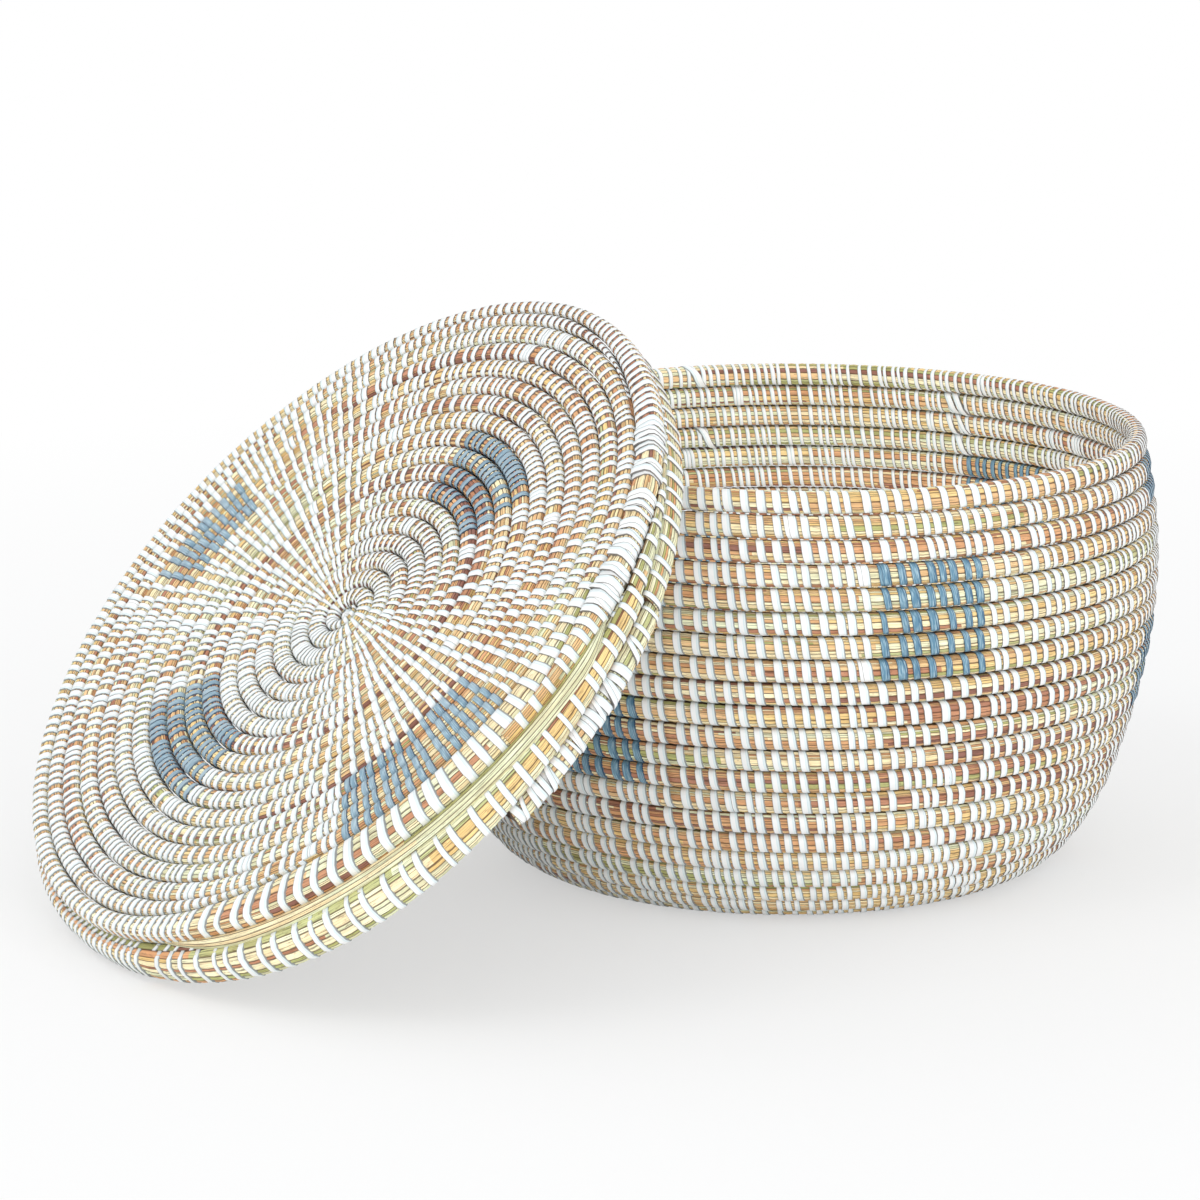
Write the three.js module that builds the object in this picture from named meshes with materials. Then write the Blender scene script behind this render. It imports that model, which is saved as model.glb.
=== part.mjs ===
// A coiled grass storage basket with its loose lid leaning against it.
// Units are millimetres and +Z is up. The origin is the middle of the base, on the floor.
// The lid leans on the -X side, so a line from the basket's axis to the lid runs along -X.

import * as THREE from "three";

// Coil of the basket
const COIL_PITCH = 12;
const COIL_THICKNESS = 9.6;
const COIL_GAP = 0.3;
const BASE_ROUNDS = 10;
const WALL_ROUNDS = 20;
const START_RADIUS = 11;

// Where the rounds begin, as a compass angle seen from above, and how far the rim's end runs on
const BASKET_START_ANGLE = -141.65;
const RIM_END_SWEEP = 146;
const RIM_END_TIP = 0.2;

// The wall's lean away from upright, in degrees outward, at heights measured along the wall
const FOOT_BEND_START = 129;
const WALL_LEAN = [
  { along: 0, lean: 90 },
  { along: 14, lean: 55 },
  { along: 38, lean: 34 },
  { along: 74, lean: 19 },
  { along: 134, lean: 10.5 },
  { along: 229, lean: -11.2 },
  { along: 253, lean: -11.4 },
];

// Coil of the lid
const LID_PITCH = 11;
const LID_THICKNESS = 11;
const LID_ROUNDS = 15;
const LID_START_RADIUS = 7.7;
const LID_START_ANGLE = 20;
const LID_OFF_CENTRE = 10;
const LID_EDGE_MARGIN = 24;
const KNOT_RADIUS = 4.5;
const KNOT_CLEARANCE = 0.3;
const KNOT_HOLE_SIDES = 16;

// Skirt of the lid
const LID_FIT = 5;
const SKIRT_WIDTH = 12;
const SKIRT_HEIGHT = 12;
const SKIRT_END_SWEEP = 35;

// The coil winds down as it goes round, so the skirt is a round deeper where it ends.
// These are the extra depths after turning so many degrees.
const SKIRT_DROP = [
  { turned: 0, drop: 0 },
  { turned: 60, drop: 0 },
  { turned: 120, drop: 2.1 },
  { turned: 240, drop: 1 },
  { turned: 315, drop: -0.5 },
  { turned: 360, drop: 10.5 },
];

// The skirt's bundle is fattest on one side: it swells outward and downward there
const SWELL_ANGLE = -42;
const SWELL_HALF_SWEEP = 60;
const SWELL_INSIDE = 3;
const SWELL_OUTSIDE = 9;
const SWELL_BELOW = 8;

// On another side it is thin, tucked in under the edge
const TUCK_ANGLE = 66;
const TUCK_HALF_SWEEP = 75;
const TUCK_OUTSIDE = 6.5;

// How the lid leans
const LID_TILT = 44.7;
const LEAN_CLEARANCE = 0.3;

// Smoothness
const STEPS_PER_ROUND = 24;
const PROFILE_STEP = 0.5;

const DEGREE = Math.PI / 180;
const COIL_SHOULDER = 0.2;

const grass = new THREE.MeshStandardMaterial({ color: 0xb29158, roughness: 0.8, metalness: 0 });
const darkGrass = new THREE.MeshStandardMaterial({ color: 0x8d6b3c, roughness: 0.85, metalness: 0 });
const paleGrass = new THREE.MeshStandardMaterial({ color: 0xbcb58c, roughness: 0.75, metalness: 0 });
const greenGrass = new THREE.MeshStandardMaterial({ color: 0x8a8a4c, roughness: 0.8, metalness: 0 });

// The profile of the basket is a line drawn from the middle of the base, out along the floor and
// up the wall. A point on it is named by its distance along the line.
function leanAt(along) {
  const last = WALL_LEAN.length - 1;
  for (let i = 0; i < last; i += 1) {
    const low = WALL_LEAN[i];
    const high = WALL_LEAN[i + 1];
    if (along < high.along) {
      const share = (along - low.along) / (high.along - low.along);
      return low.lean + (high.lean - low.lean) * share;
    }
  }
  return WALL_LEAN[last].lean;
}

function makeWallPoints(length) {
  const points = [{ r: FOOT_BEND_START, z: 0 }];
  const count = Math.ceil(length / PROFILE_STEP);
  for (let i = 0; i < count; i += 1) {
    const lean = leanAt((i + 0.5) * PROFILE_STEP) * DEGREE;
    const before = points[i];
    points.push({
      r: before.r + Math.sin(lean) * PROFILE_STEP,
      z: before.z + Math.cos(lean) * PROFILE_STEP,
    });
  }
  return points;
}

const ROUNDS = BASE_ROUNDS + WALL_ROUNDS;
const PROFILE_LENGTH = START_RADIUS + (ROUNDS + 2) * COIL_PITCH;
const wallPoints = makeWallPoints(PROFILE_LENGTH - FOOT_BEND_START);

// A point at a distance along the profile and at a depth in from the outer surface
function profilePoint(distance, depth) {
  if (distance <= FOOT_BEND_START) {
    return { r: distance, z: depth };
  }
  const along = distance - FOOT_BEND_START;
  const index = Math.min(Math.floor(along / PROFILE_STEP), wallPoints.length - 2);
  const share = along / PROFILE_STEP - index;
  const low = wallPoints[index];
  const high = wallPoints[index + 1];
  const lean = leanAt(along) * DEGREE;
  return {
    r: low.r + (high.r - low.r) * share - Math.cos(lean) * depth,
    z: low.z + (high.z - low.z) * share + Math.sin(lean) * depth,
  };
}

// The skirt's extra depth after turning so many degrees
function dropAfter(turned) {
  const next = Math.max(1, SKIRT_DROP.findIndex((step) => step.turned >= turned));
  const low = SKIRT_DROP[next - 1];
  const high = SKIRT_DROP[next];
  return low.drop + ((high.drop - low.drop) * (turned - low.turned)) / (high.turned - low.turned);
}

// A solid swept through a list of rings of points, closed by a flat cap at each end
function sweepRings(rings) {
  const sides = rings[0].length;
  const positions = [];
  const indices = [];
  for (const ring of rings) {
    for (const point of ring) {
      positions.push(point.x, point.y, point.z);
    }
  }
  for (let i = 0; i + 1 < rings.length; i += 1) {
    for (let j = 0; j < sides; j += 1) {
      const next = (j + 1) % sides;
      const a = i * sides + j;
      const b = i * sides + next;
      const c = (i + 1) * sides + j;
      const d = (i + 1) * sides + next;
      indices.push(a, c, b, b, c, d);
    }
  }
  const end = (rings.length - 1) * sides;
  for (let j = 1; j + 1 < sides; j += 1) {
    indices.push(0, j, j + 1);
    indices.push(end, end + j + 1, end + j);
  }
  const geometry = new THREE.BufferGeometry();
  geometry.setAttribute("position", new THREE.Float32BufferAttribute(positions, 3));
  geometry.setIndex(indices);
  geometry.computeVertexNormals();
  return geometry;
}

// Angles of a sweep that runs clockwise seen from above, cut short at each end by half a gap
function sweepAngles(startAngle, sweep, steps, radius) {
  const trim = COIL_GAP / 2 / radius / DEGREE;
  const angles = [];
  for (let i = 0; i <= steps; i += 1) {
    let turned = (sweep * i) / steps;
    if (i === 0) {
      turned += trim;
    }
    if (i === steps) {
      turned -= trim;
    }
    angles.push({ turned, angle: (startAngle - turned) * DEGREE });
  }
  return angles;
}

function addPiece(group, name, geometry, material) {
  const mesh = new THREE.Mesh(geometry, material);
  mesh.name = name;
  group.add(mesh);
  return mesh;
}

function twoDigits(number) {
  return String(number).padStart(2, "0");
}

// The sections of the basket's coil, as corners that run once round the bundle.
// Rounds that lie on the floor are flat below, and rounds of the wall bulge on both sides.
function flatSection(low, high, thickness) {
  const middle = (low + high) / 2;
  return [
    [low, 0],
    [low, thickness * (1 - COIL_SHOULDER)],
    [middle, thickness],
    [high, thickness * (1 - COIL_SHOULDER)],
    [high, 0],
  ];
}

function roundSection(low, high, thickness) {
  const middle = (low + high) / 2;
  return [
    [low, thickness * COIL_SHOULDER],
    [low, thickness * (1 - COIL_SHOULDER)],
    [middle, thickness],
    [high, thickness * (1 - COIL_SHOULDER)],
    [high, thickness * COIL_SHOULDER],
    [middle, 0],
  ];
}

function basketRing(corners, angle) {
  return corners.map(([distance, depth]) => {
    const point = profilePoint(distance, depth);
    return new THREE.Vector3(point.r * Math.cos(angle), point.r * Math.sin(angle), point.z);
  });
}

function basketRound(index, section) {
  const inner = START_RADIUS + (index - 1) * COIL_PITCH;
  const angles = sweepAngles(BASKET_START_ANGLE, 360, STEPS_PER_ROUND, profilePoint(inner, 0).r);
  const rings = angles.map(({ turned, angle }) => {
    const low = inner + (COIL_PITCH * turned) / 360 + COIL_GAP / 2;
    const high = low + COIL_PITCH - COIL_GAP;
    return basketRing(section(low, high, COIL_THICKNESS), angle);
  });
  return sweepRings(rings);
}

function rimEnd() {
  const inner = START_RADIUS + ROUNDS * COIL_PITCH;
  const steps = Math.round((STEPS_PER_ROUND * RIM_END_SWEEP) / 360);
  const step = 360 / STEPS_PER_ROUND;
  const angles = sweepAngles(BASKET_START_ANGLE, steps * step, steps, profilePoint(inner, 0).r);
  const rings = angles.map(({ turned, angle }) => {
    const low = inner + (COIL_PITCH * turned) / 360 + COIL_GAP / 2;
    const taper = 1 - (1 - RIM_END_TIP) * (turned / (steps * step));
    const high = low + (COIL_PITCH - COIL_GAP) * taper;
    return basketRing(roundSection(low, high, COIL_THICKNESS), angle);
  });
  return sweepRings(rings);
}

// The flat disc at the start of a coil. Its edge is one turn of a spiral with a step where the
// coil leaves it.
function startDisc(radius, pitch, startAngle, height, centre, holeRadius) {
  const shape = new THREE.Shape();
  const angles = sweepAngles(startAngle, 360, STEPS_PER_ROUND, radius + pitch / 2);
  angles.forEach(({ turned, angle }, index) => {
    const edge = radius + (pitch * turned) / 360 - COIL_GAP / 2;
    const x = centre(edge) + edge * Math.cos(angle);
    const y = edge * Math.sin(angle);
    if (index === 0) {
      shape.moveTo(x, y);
    } else {
      shape.lineTo(x, y);
    }
  });
  shape.closePath();
  if (holeRadius > 0) {
    const hole = new THREE.Path();
    for (let i = 0; i < KNOT_HOLE_SIDES; i += 1) {
      const angle = (2 * Math.PI * i) / KNOT_HOLE_SIDES;
      const x = centre(0) + holeRadius * Math.cos(angle);
      const y = holeRadius * Math.sin(angle);
      if (i === 0) {
        hole.moveTo(x, y);
      } else {
        hole.lineTo(x, y);
      }
    }
    shape.holes.push(hole);
  }
  return new THREE.ExtrudeGeometry(shape, { depth: height, bevelEnabled: false });
}

function makeBasket() {
  const basket = new THREE.Group();
  const startHeight = COIL_THICKNESS * (1 - COIL_SHOULDER / 2);
  const onAxis = () => 0;
  const start = startDisc(START_RADIUS, COIL_PITCH, BASKET_START_ANGLE, startHeight, onAxis, 0);
  addPiece(basket, "base_start", start, darkGrass);
  for (let i = 1; i <= BASE_ROUNDS; i += 1) {
    const round = basketRound(i, flatSection);
    addPiece(basket, `base_round_${twoDigits(i)}`, round, i % 2 ? grass : darkGrass);
  }
  for (let i = 1; i <= WALL_ROUNDS; i += 1) {
    const round = basketRound(BASE_ROUNDS + i, roundSection);
    addPiece(basket, `wall_round_${twoDigits(i)}`, round, i % 3 ? grass : greenGrass);
  }
  addPiece(basket, "rim_end", rimEnd(), darkGrass);
  return basket;
}

// The lid lies in its own group: its underside is the plane z = 0, its top faces +z, and +y is
// the side that points up the slope when it leans.
function makeLid(rimRadius) {
  const lid = new THREE.Group();
  const skirtInner = rimRadius + LID_FIT;
  const skirtOuter = skirtInner + SKIRT_WIDTH;
  const lidRadius = LID_START_RADIUS + LID_ROUNDS * LID_PITCH + LID_EDGE_MARGIN;

  // The rounds of the disc are wound a little off centre, and the shift dies out at the edge
  function shift(radius) {
    return LID_OFF_CENTRE * Math.max(0, 1 - radius / lidRadius);
  }
  function lidRing(corners, angle) {
    return corners.map(([radius, height]) => {
      const x = shift(radius) + radius * Math.cos(angle);
      return new THREE.Vector3(x, radius * Math.sin(angle), height);
    });
  }

  const knot = new THREE.SphereGeometry(KNOT_RADIUS, 12, 8);
  knot.translate(shift(0), 0, LID_THICKNESS / 2);
  addPiece(lid, "lid_start_knot", knot, darkGrass);

  const startHeight = LID_THICKNESS * (1 - COIL_SHOULDER / 2);
  const hole = (KNOT_RADIUS + KNOT_CLEARANCE) / Math.cos(Math.PI / KNOT_HOLE_SIDES);
  const start = startDisc(LID_START_RADIUS, LID_PITCH, LID_START_ANGLE, startHeight, shift, hole);
  addPiece(lid, "lid_start", start, grass);

  for (let i = 1; i <= LID_ROUNDS; i += 1) {
    const inner = LID_START_RADIUS + (i - 1) * LID_PITCH;
    const angles = sweepAngles(LID_START_ANGLE, 360, STEPS_PER_ROUND, inner);
    const rings = angles.map(({ turned, angle }) => {
      const low = inner + (LID_PITCH * turned) / 360 + COIL_GAP / 2;
      const high = low + LID_PITCH - COIL_GAP;
      return lidRing(flatSection(low, high, LID_THICKNESS), angle);
    });
    addPiece(lid, `lid_round_${twoDigits(i)}`, sweepRings(rings), i % 2 ? grass : darkGrass);
  }

  // The last round fills what is left out to the round edge, so it is widest where it begins
  const edgeInner = LID_START_RADIUS + LID_ROUNDS * LID_PITCH;
  const edgeRadius = LID_THICKNESS * COIL_SHOULDER;
  const edgeAngles = sweepAngles(LID_START_ANGLE, 360, STEPS_PER_ROUND, edgeInner);
  const edgeRings = edgeAngles.map(({ turned, angle }) => {
    const low = edgeInner + (LID_PITCH * turned) / 360 + COIL_GAP / 2;
    const corners = [
      [low, 0],
      [low, LID_THICKNESS * (1 - COIL_SHOULDER)],
      [(low + lidRadius) / 2, LID_THICKNESS],
      [lidRadius - edgeRadius, LID_THICKNESS * (1 - COIL_SHOULDER / 2)],
      [lidRadius, LID_THICKNESS / 2],
      [lidRadius - edgeRadius, 0],
    ];
    return lidRing(corners, angle);
  });
  addPiece(lid, "lid_edge_round", sweepRings(edgeRings), paleGrass);

  // The skirt hangs under the edge, round the basket's rim when the lid is on
  function skirtSection(top, height, swell, tuck) {
    const round = SKIRT_WIDTH * COIL_SHOULDER;
    const inner = skirtInner + SWELL_INSIDE * swell;
    const outer = skirtOuter + SWELL_OUTSIDE * swell - TUCK_OUTSIDE * tuck;
    const bottom = top - height - SWELL_BELOW * swell;
    const middle = (top + bottom) / 2;
    return [
      [inner + round, bottom],
      [inner, middle],
      [skirtInner + round, top],
      [outer - round, top],
      [outer, middle],
      [outer - round, bottom],
    ];
  }
  function nearness(angle, centre, halfSweep) {
    const turned = angle / DEGREE - centre;
    const away = Math.abs(turned - 360 * Math.round(turned / 360));
    const share = Math.min(1, away / halfSweep);
    return Math.cos((share * Math.PI) / 2) ** 2;
  }
  const swellAt = (angle) => nearness(angle, SWELL_ANGLE, SWELL_HALF_SWEEP);
  const tuckAt = (angle) => nearness(angle, TUCK_ANGLE, TUCK_HALF_SWEEP);
  const skirtTop = -COIL_GAP;
  const skirtAngles = sweepAngles(LID_START_ANGLE, 360, STEPS_PER_ROUND, skirtInner);
  const skirtRings = skirtAngles.map(({ turned, angle }) => {
    const height = SKIRT_HEIGHT + dropAfter(turned);
    return lidRing(skirtSection(skirtTop, height, swellAt(angle), tuckAt(angle)), angle);
  });
  addPiece(lid, "skirt_round", sweepRings(skirtRings), greenGrass);

  const endTop = skirtTop - SKIRT_HEIGHT - COIL_GAP;
  const endLevel = (angle) => endTop - SWELL_BELOW * swellAt(angle);
  const endSteps = Math.ceil((STEPS_PER_ROUND * SKIRT_END_SWEEP) / 360);
  const endAngles = sweepAngles(LID_START_ANGLE, SKIRT_END_SWEEP, endSteps, skirtInner);
  const endRings = endAngles.map(({ angle }) => {
    return lidRing(skirtSection(endLevel(angle), SKIRT_HEIGHT, 0, tuckAt(angle)), angle);
  });
  addPiece(lid, "skirt_end", sweepRings(endRings), paleGrass);
  return lid;
}

// The furthest that a group's corners reach along a direction
function reachAlong(group, direction) {
  const point = new THREE.Vector3();
  let reach = -Infinity;
  group.updateMatrixWorld(true);
  group.traverse((piece) => {
    if (!piece.isMesh) {
      return;
    }
    const positions = piece.geometry.getAttribute("position");
    for (let i = 0; i < positions.count; i += 1) {
      point.fromBufferAttribute(positions, i).applyMatrix4(piece.matrixWorld);
      reach = Math.max(reach, point.dot(direction));
    }
  });
  return reach;
}

// The lid stands on the floor on its lower edge, and its underside leans on the basket's rim
function leanLid(lid, basket) {
  const tilt = LID_TILT * DEGREE;
  const faceDirection = new THREE.Vector3(-Math.sin(tilt), 0, Math.cos(tilt));
  lid.rotation.set(0, -tilt, -Math.PI / 2);
  const lowest = -reachAlong(lid, new THREE.Vector3(0, 0, -1));
  const height = -lowest;
  const rimReach = reachAlong(basket, faceDirection) + LEAN_CLEARANCE;
  const distance = (rimReach - height * faceDirection.z) / faceDirection.x;
  lid.position.set(distance, 0, height);
}

const rimTop = START_RADIUS + (ROUNDS + 1) * COIL_PITCH;
const rimRadius = profilePoint(rimTop - COIL_PITCH, 0).r;
const basket = makeBasket();
const lid = makeLid(rimRadius);
leanLid(lid, basket);

const liddedBasket = new THREE.Group();
liddedBasket.add(basket, lid);

export default liddedBasket;
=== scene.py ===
# %% [markdown]
# A coiled grass basket and its lid. Both are sewn from one long bundle of grass stalks that winds
# round and round, and narrow plastic strips lash each round to the one before it. The packed
# model gives the place and size of every round. This lesson dresses those rounds: each gets a
# bundle of real stalks and its own row of strips.

import math

import bpy
import numpy as np
from mathutils import Matrix, Vector


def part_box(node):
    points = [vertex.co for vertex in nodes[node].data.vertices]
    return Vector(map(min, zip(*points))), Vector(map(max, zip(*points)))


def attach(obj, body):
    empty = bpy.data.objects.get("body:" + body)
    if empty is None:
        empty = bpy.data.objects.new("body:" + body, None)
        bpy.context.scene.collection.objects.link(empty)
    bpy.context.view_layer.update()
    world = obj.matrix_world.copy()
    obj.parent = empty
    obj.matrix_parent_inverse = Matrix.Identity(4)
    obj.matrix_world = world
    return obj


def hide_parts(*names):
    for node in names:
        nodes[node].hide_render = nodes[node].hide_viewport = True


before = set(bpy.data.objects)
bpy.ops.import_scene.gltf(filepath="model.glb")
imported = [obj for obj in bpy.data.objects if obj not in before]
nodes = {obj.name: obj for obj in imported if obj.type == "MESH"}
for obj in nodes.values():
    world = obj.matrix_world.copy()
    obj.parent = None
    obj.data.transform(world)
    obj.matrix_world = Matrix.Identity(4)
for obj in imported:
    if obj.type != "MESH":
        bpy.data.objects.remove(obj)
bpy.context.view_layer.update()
bpy.ops.object.select_all(action="DESELECT")
print("nodes in the frame:", len(nodes))

# %% [markdown]
# The rounds are too regular to be placed one by one. A coil is a rule: at a given turn it lies at
# a given place. The same few sizes that shaped the solids are repeated here in metres, so the
# grass lies exactly where the solids are.

# %% Sizes of the basket's coil
MM = 0.001
COIL_PITCH = 12 * MM
COIL_THICKNESS = 9.6 * MM
BASE_ROUNDS = 10
WALL_ROUNDS = 20
START_RADIUS = 11 * MM
BASKET_START_ANGLE = -141.65
RIM_TURN = (BASE_ROUNDS + WALL_ROUNDS) * 360
FOOT_BEND_START = 129 * MM

# The coil's last stretch: degrees that show, and how low and how thin it gets
RIM_END_SHOWN = 118
RIM_END_TIP = 0.12
RIM_END_THINNED = 0.6

# Distance up the wall, and lean outward in degrees
WALL_LEAN = [(0, 90), (14, 55), (38, 34), (74, 19), (134, 10.5), (229, -11.2), (253, -11.4)]
PROFILE_STEP = 0.5 * MM
PROFILE_LENGTH = START_RADIUS + (BASE_ROUNDS + WALL_ROUNDS + 2) * COIL_PITCH
print("rounds of the basket:", BASE_ROUNDS + WALL_ROUNDS)

# %% Sizes of the lid's coil
LID_PITCH = 11 * MM
LID_THICKNESS = 11 * MM
LID_ROUNDS = 15
LID_START_RADIUS = 7.7 * MM
LID_START_ANGLE = 20
LID_OFF_CENTRE = 10 * MM
LID_EDGE_MARGIN = 24 * MM
LID_TILT = 44.7
KNOT_RADIUS = 4.5 * MM
KNOT_CLEARANCE = 0.3 * MM
LID_RADIUS = LID_START_RADIUS + LID_ROUNDS * LID_PITCH + LID_EDGE_MARGIN
print("lid radius in mm:", round(LID_RADIUS / MM, 1))

# %% Sizes of the lid's skirt
LID_FIT = 5 * MM
SKIRT_WIDTH = 12 * MM
SKIRT_HEIGHT = 12 * MM
SKIRT_END_SWEEP = 35
SWELL_ANGLE = -42
SWELL_HALF_SWEEP = 60
SWELL_OUTSIDE = 9 * MM
SWELL_BELOW = 8 * MM
TUCK_ANGLE = 66
TUCK_HALF_SWEEP = 75
TUCK_OUTSIDE = 8.5 * MM
COIL_GAP = 0.3 * MM

# How many degrees the coil has turned, and its extra depth there in mm
SKIRT_DROP = [(0, 0), (60, 0), (120, 2.1), (240, 1), (315, -0.5), (360, 10.5)]
print("skirt section in mm:", SKIRT_WIDTH / MM, SKIRT_HEIGHT / MM)


# %% The wall's profile
def make_profile():
    """Radius, height and lean at equal steps from the middle of the base up to the rim."""
    along, lean = np.array(WALL_LEAN, float).T
    steps = np.arange(0, PROFILE_LENGTH - FOOT_BEND_START, PROFILE_STEP)
    tilt = np.radians(np.interp(steps + PROFILE_STEP / 2, along * MM, lean))
    radius = FOOT_BEND_START + np.concatenate([[0], np.cumsum(np.sin(tilt[:-1]))]) * PROFILE_STEP
    height = np.concatenate([[0], np.cumsum(np.cos(tilt[:-1]))]) * PROFILE_STEP
    distance = np.concatenate([[0], FOOT_BEND_START + steps])
    tilt = np.radians(np.interp(steps, along * MM, lean))
    return (distance, np.concatenate([[0], radius]), np.concatenate([[0], height]),
            np.concatenate([[math.pi / 2], tilt]))


PROFILE = make_profile()


def profile_point(distance, depth):
    """Radius and height at a distance along the profile and a depth in from its surface."""
    known, radius, height, lean = PROFILE
    tilt = np.interp(distance, known, lean)
    return (np.interp(distance, known, radius) - np.cos(tilt) * depth,
            np.interp(distance, known, height) + np.sin(tilt) * depth)


RIM_RADIUS = float(profile_point(START_RADIUS + (BASE_ROUNDS + WALL_ROUNDS) * COIL_PITCH, 0)[0])
print("rim radius in mm:", round(RIM_RADIUS / MM, 1))

# %% [markdown]
# The lid leans on the basket, so it has a frame of its own: its underside is flat, x runs across
# the slope and y runs up it. The start knot is the one solid whose middle is known in both
# frames, so it fixes where the lid's frame lies.


# %% The lid's own frame
def make_lid_matrix():
    tilt = math.radians(LID_TILT)
    turn = Matrix.Rotation(-tilt, 3, "Y") @ Matrix.Rotation(-math.pi / 2, 3, "Z")
    low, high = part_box("lid_start_knot")
    knot = turn @ Vector((LID_OFF_CENTRE, 0, LID_THICKNESS / 2))
    return np.array(turn), np.array((low + high) / 2 - knot)


LID_TURN, LID_PLACE = make_lid_matrix()


def lid_to_world(points):
    return points @ LID_TURN.T + LID_PLACE


print("lid frame at mm:", np.round(LID_PLACE / MM, 1))

# %% [markdown]
# Every coil here is described in one way. At each turn a function gives the two edges of the
# bundle as radius and height, the bundle's thickness and the compass angle. Everything else, from
# stalks to strips, is laid on that.


# %% What a coil's rule gives back
class Course:
    """The bundle at some turns: its edges, its thickness and its compass angle."""

    def __init__(self, low, high, thickness, angle):
        low_r, low_z, high_r, high_z = np.broadcast_arrays(low[0], low[1], high[0], high[1])
        self.middle = np.stack([(low_r + high_r) / 2, (low_z + high_z) / 2], -1)
        across = np.stack([high_r - low_r, high_z - low_z], -1)
        length = np.linalg.norm(across, axis=-1)
        self.half_width = length / 2
        self.across = across / np.maximum(length, 1e-9)[..., None]
        self.half_thickness = np.broadcast_to(thickness, length.shape) / 2
        self.angle = np.broadcast_to(angle, length.shape)


# %% The rule of each coil of the basket
def basket_course(turn):
    """The flat base and the wall, from the first turn to the rim's tapered end."""
    high = START_RADIUS + COIL_PITCH * (turn / 360 + 1)
    low = np.maximum(high - COIL_PITCH, 0)
    past_rim = np.clip((turn / 360 - BASE_ROUNDS - WALL_ROUNDS) * 360, 0, RIM_END_SHOWN)
    high = low + (high - low) * (1 - (1 - RIM_END_TIP) * past_rim / RIM_END_SHOWN)
    depth = COIL_THICKNESS / 2
    thickness = COIL_THICKNESS * (1 - RIM_END_THINNED * past_rim / RIM_END_SHOWN)
    angle = np.radians(BASKET_START_ANGLE - turn)
    return Course(profile_point(low, depth), profile_point(high, depth), thickness, angle)


def basket_place(radius, height, angle):
    return np.stack([radius * np.cos(angle), radius * np.sin(angle), height], -1)


foot_middle = basket_course(np.array(BASE_ROUNDS * 360.0)).middle
print("the foot's row lies at mm:", np.round(foot_middle / MM, 1))


# %% The rule of the lid's disc
def lid_angle(turned):
    return np.radians(LID_START_ANGLE - turned)


def flat_row(low, high, turned):
    level = LID_THICKNESS / 2 + 0 * turned
    return Course((low, level), (high, level), LID_THICKNESS, lid_angle(turned))


def lid_course(turn):
    """The flat disc, from the hole for the start knot out to the last whole round."""
    high = LID_START_RADIUS + LID_PITCH * (turn / 360 + 1)
    low = np.maximum(high - LID_PITCH, KNOT_RADIUS + KNOT_CLEARANCE)
    return flat_row(low, np.maximum(high, low + 0.1 * MM), turn)


def lid_place(radius, height, angle):
    shift = LID_OFF_CENTRE * np.maximum(0, 1 - radius / LID_RADIUS)
    local = [shift + radius * np.cos(angle), radius * np.sin(angle), height]
    return lid_to_world(np.stack(local, -1))


print("a row of the disc is wide in mm:", round(lid_course(np.array(720.0)).half_width * 2 / MM, 1))

# %% [markdown]
# At the lid's edge the real maker ran out of pattern. On one side the last round is a fat pale
# bundle with broad strips, and a band of bare stalks runs along it outside. Further round it
# splits in two ordinary rows. The turns below say where each of these starts and stops.

# %% Sizes of the lid's edge
EDGE_START = LID_ROUNDS * 360
SPLIT_START = 62
SPLIT_END = 108
FAT_START_WIDTH = 0.46
FAT_FULL_AT = 30
MERGE_START = 285
MERGE_END = 326
OLD_EDGE_END = 388
print("the fat bundle and the two rows, in degrees:", (0, SPLIT_START), (SPLIT_END, MERGE_START))

# %% Sizes of the band of bare stalks
BAND_START = 1
BAND_END = 101
BAND_GROWS = 14
BAND_SHRINKS = 26
BAND_WIDTH = 9.4 * MM
BAND_THICKNESS = 7.2 * MM
BAND_LEVEL = 0.7 * MM
BAND_TIP_LIFT = 1.6 * MM
BAND_TIP_INSET = 3 * MM
BAND_OUTWARD = 5.8 * MM
THINNEST = 1 * MM
print("the bare band, in degrees:", (BAND_START, BAND_END))


# %% Two soft steps
def smooth_step(value, low, high):
    """Nothing below low, one above high, and a gentle rise between them."""
    share = np.clip((value - low) / (high - low), 0, 1)
    return share * share * (3 - 2 * share)


def nearness(angle, centre, half_sweep):
    """One at a compass angle, falling to nothing at so many degrees on either side of it."""
    turned = np.degrees(angle) - centre
    away = np.abs(turned - 360 * np.round(turned / 360))
    return np.cos(np.minimum(1, away / half_sweep) * math.pi / 2) ** 2


print("a quarter of the way up a soft step:", smooth_step(0.25, 0, 1))


# %% The rules of the lid's edge rows
def edge_low(turned):
    return LID_START_RADIUS + LID_ROUNDS * LID_PITCH + LID_PITCH * turned / 360


def inner_row_width(turned):
    """Width of the second row, which is there only between the split and the merge."""
    share = smooth_step(turned, SPLIT_START, SPLIT_END)
    share = share * (1 - smooth_step(turned, MERGE_START, MERGE_END))
    return (LID_RADIUS - edge_low(turned)) / 2 * share


def fat_high(turned):
    """Outer edge of the fat bundle, which starts as wide as an ordinary row."""
    grown = smooth_step(turned, 0, FAT_FULL_AT)
    width = LID_RADIUS - edge_low(turned)
    return edge_low(turned) + width * (FAT_START_WIDTH + (1 - FAT_START_WIDTH) * grown)


def outer_low(turned):
    """Inner edge of the outermost bundle, which runs on past a whole turn beside its own start."""
    first = edge_low(turned) + inner_row_width(turned)
    beside_start = np.minimum(fat_high(np.maximum(turned - 360, 0)), LID_RADIUS - 2 * MM)
    return np.where(turned < 360, first, beside_start)


def edge_outer_course(turned):
    """The fat bundle, which becomes the outermost of the ordinary rows."""
    high = np.where(turned < SPLIT_START, fat_high(turned), LID_RADIUS)
    return flat_row(outer_low(turned), high, turned)


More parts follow.
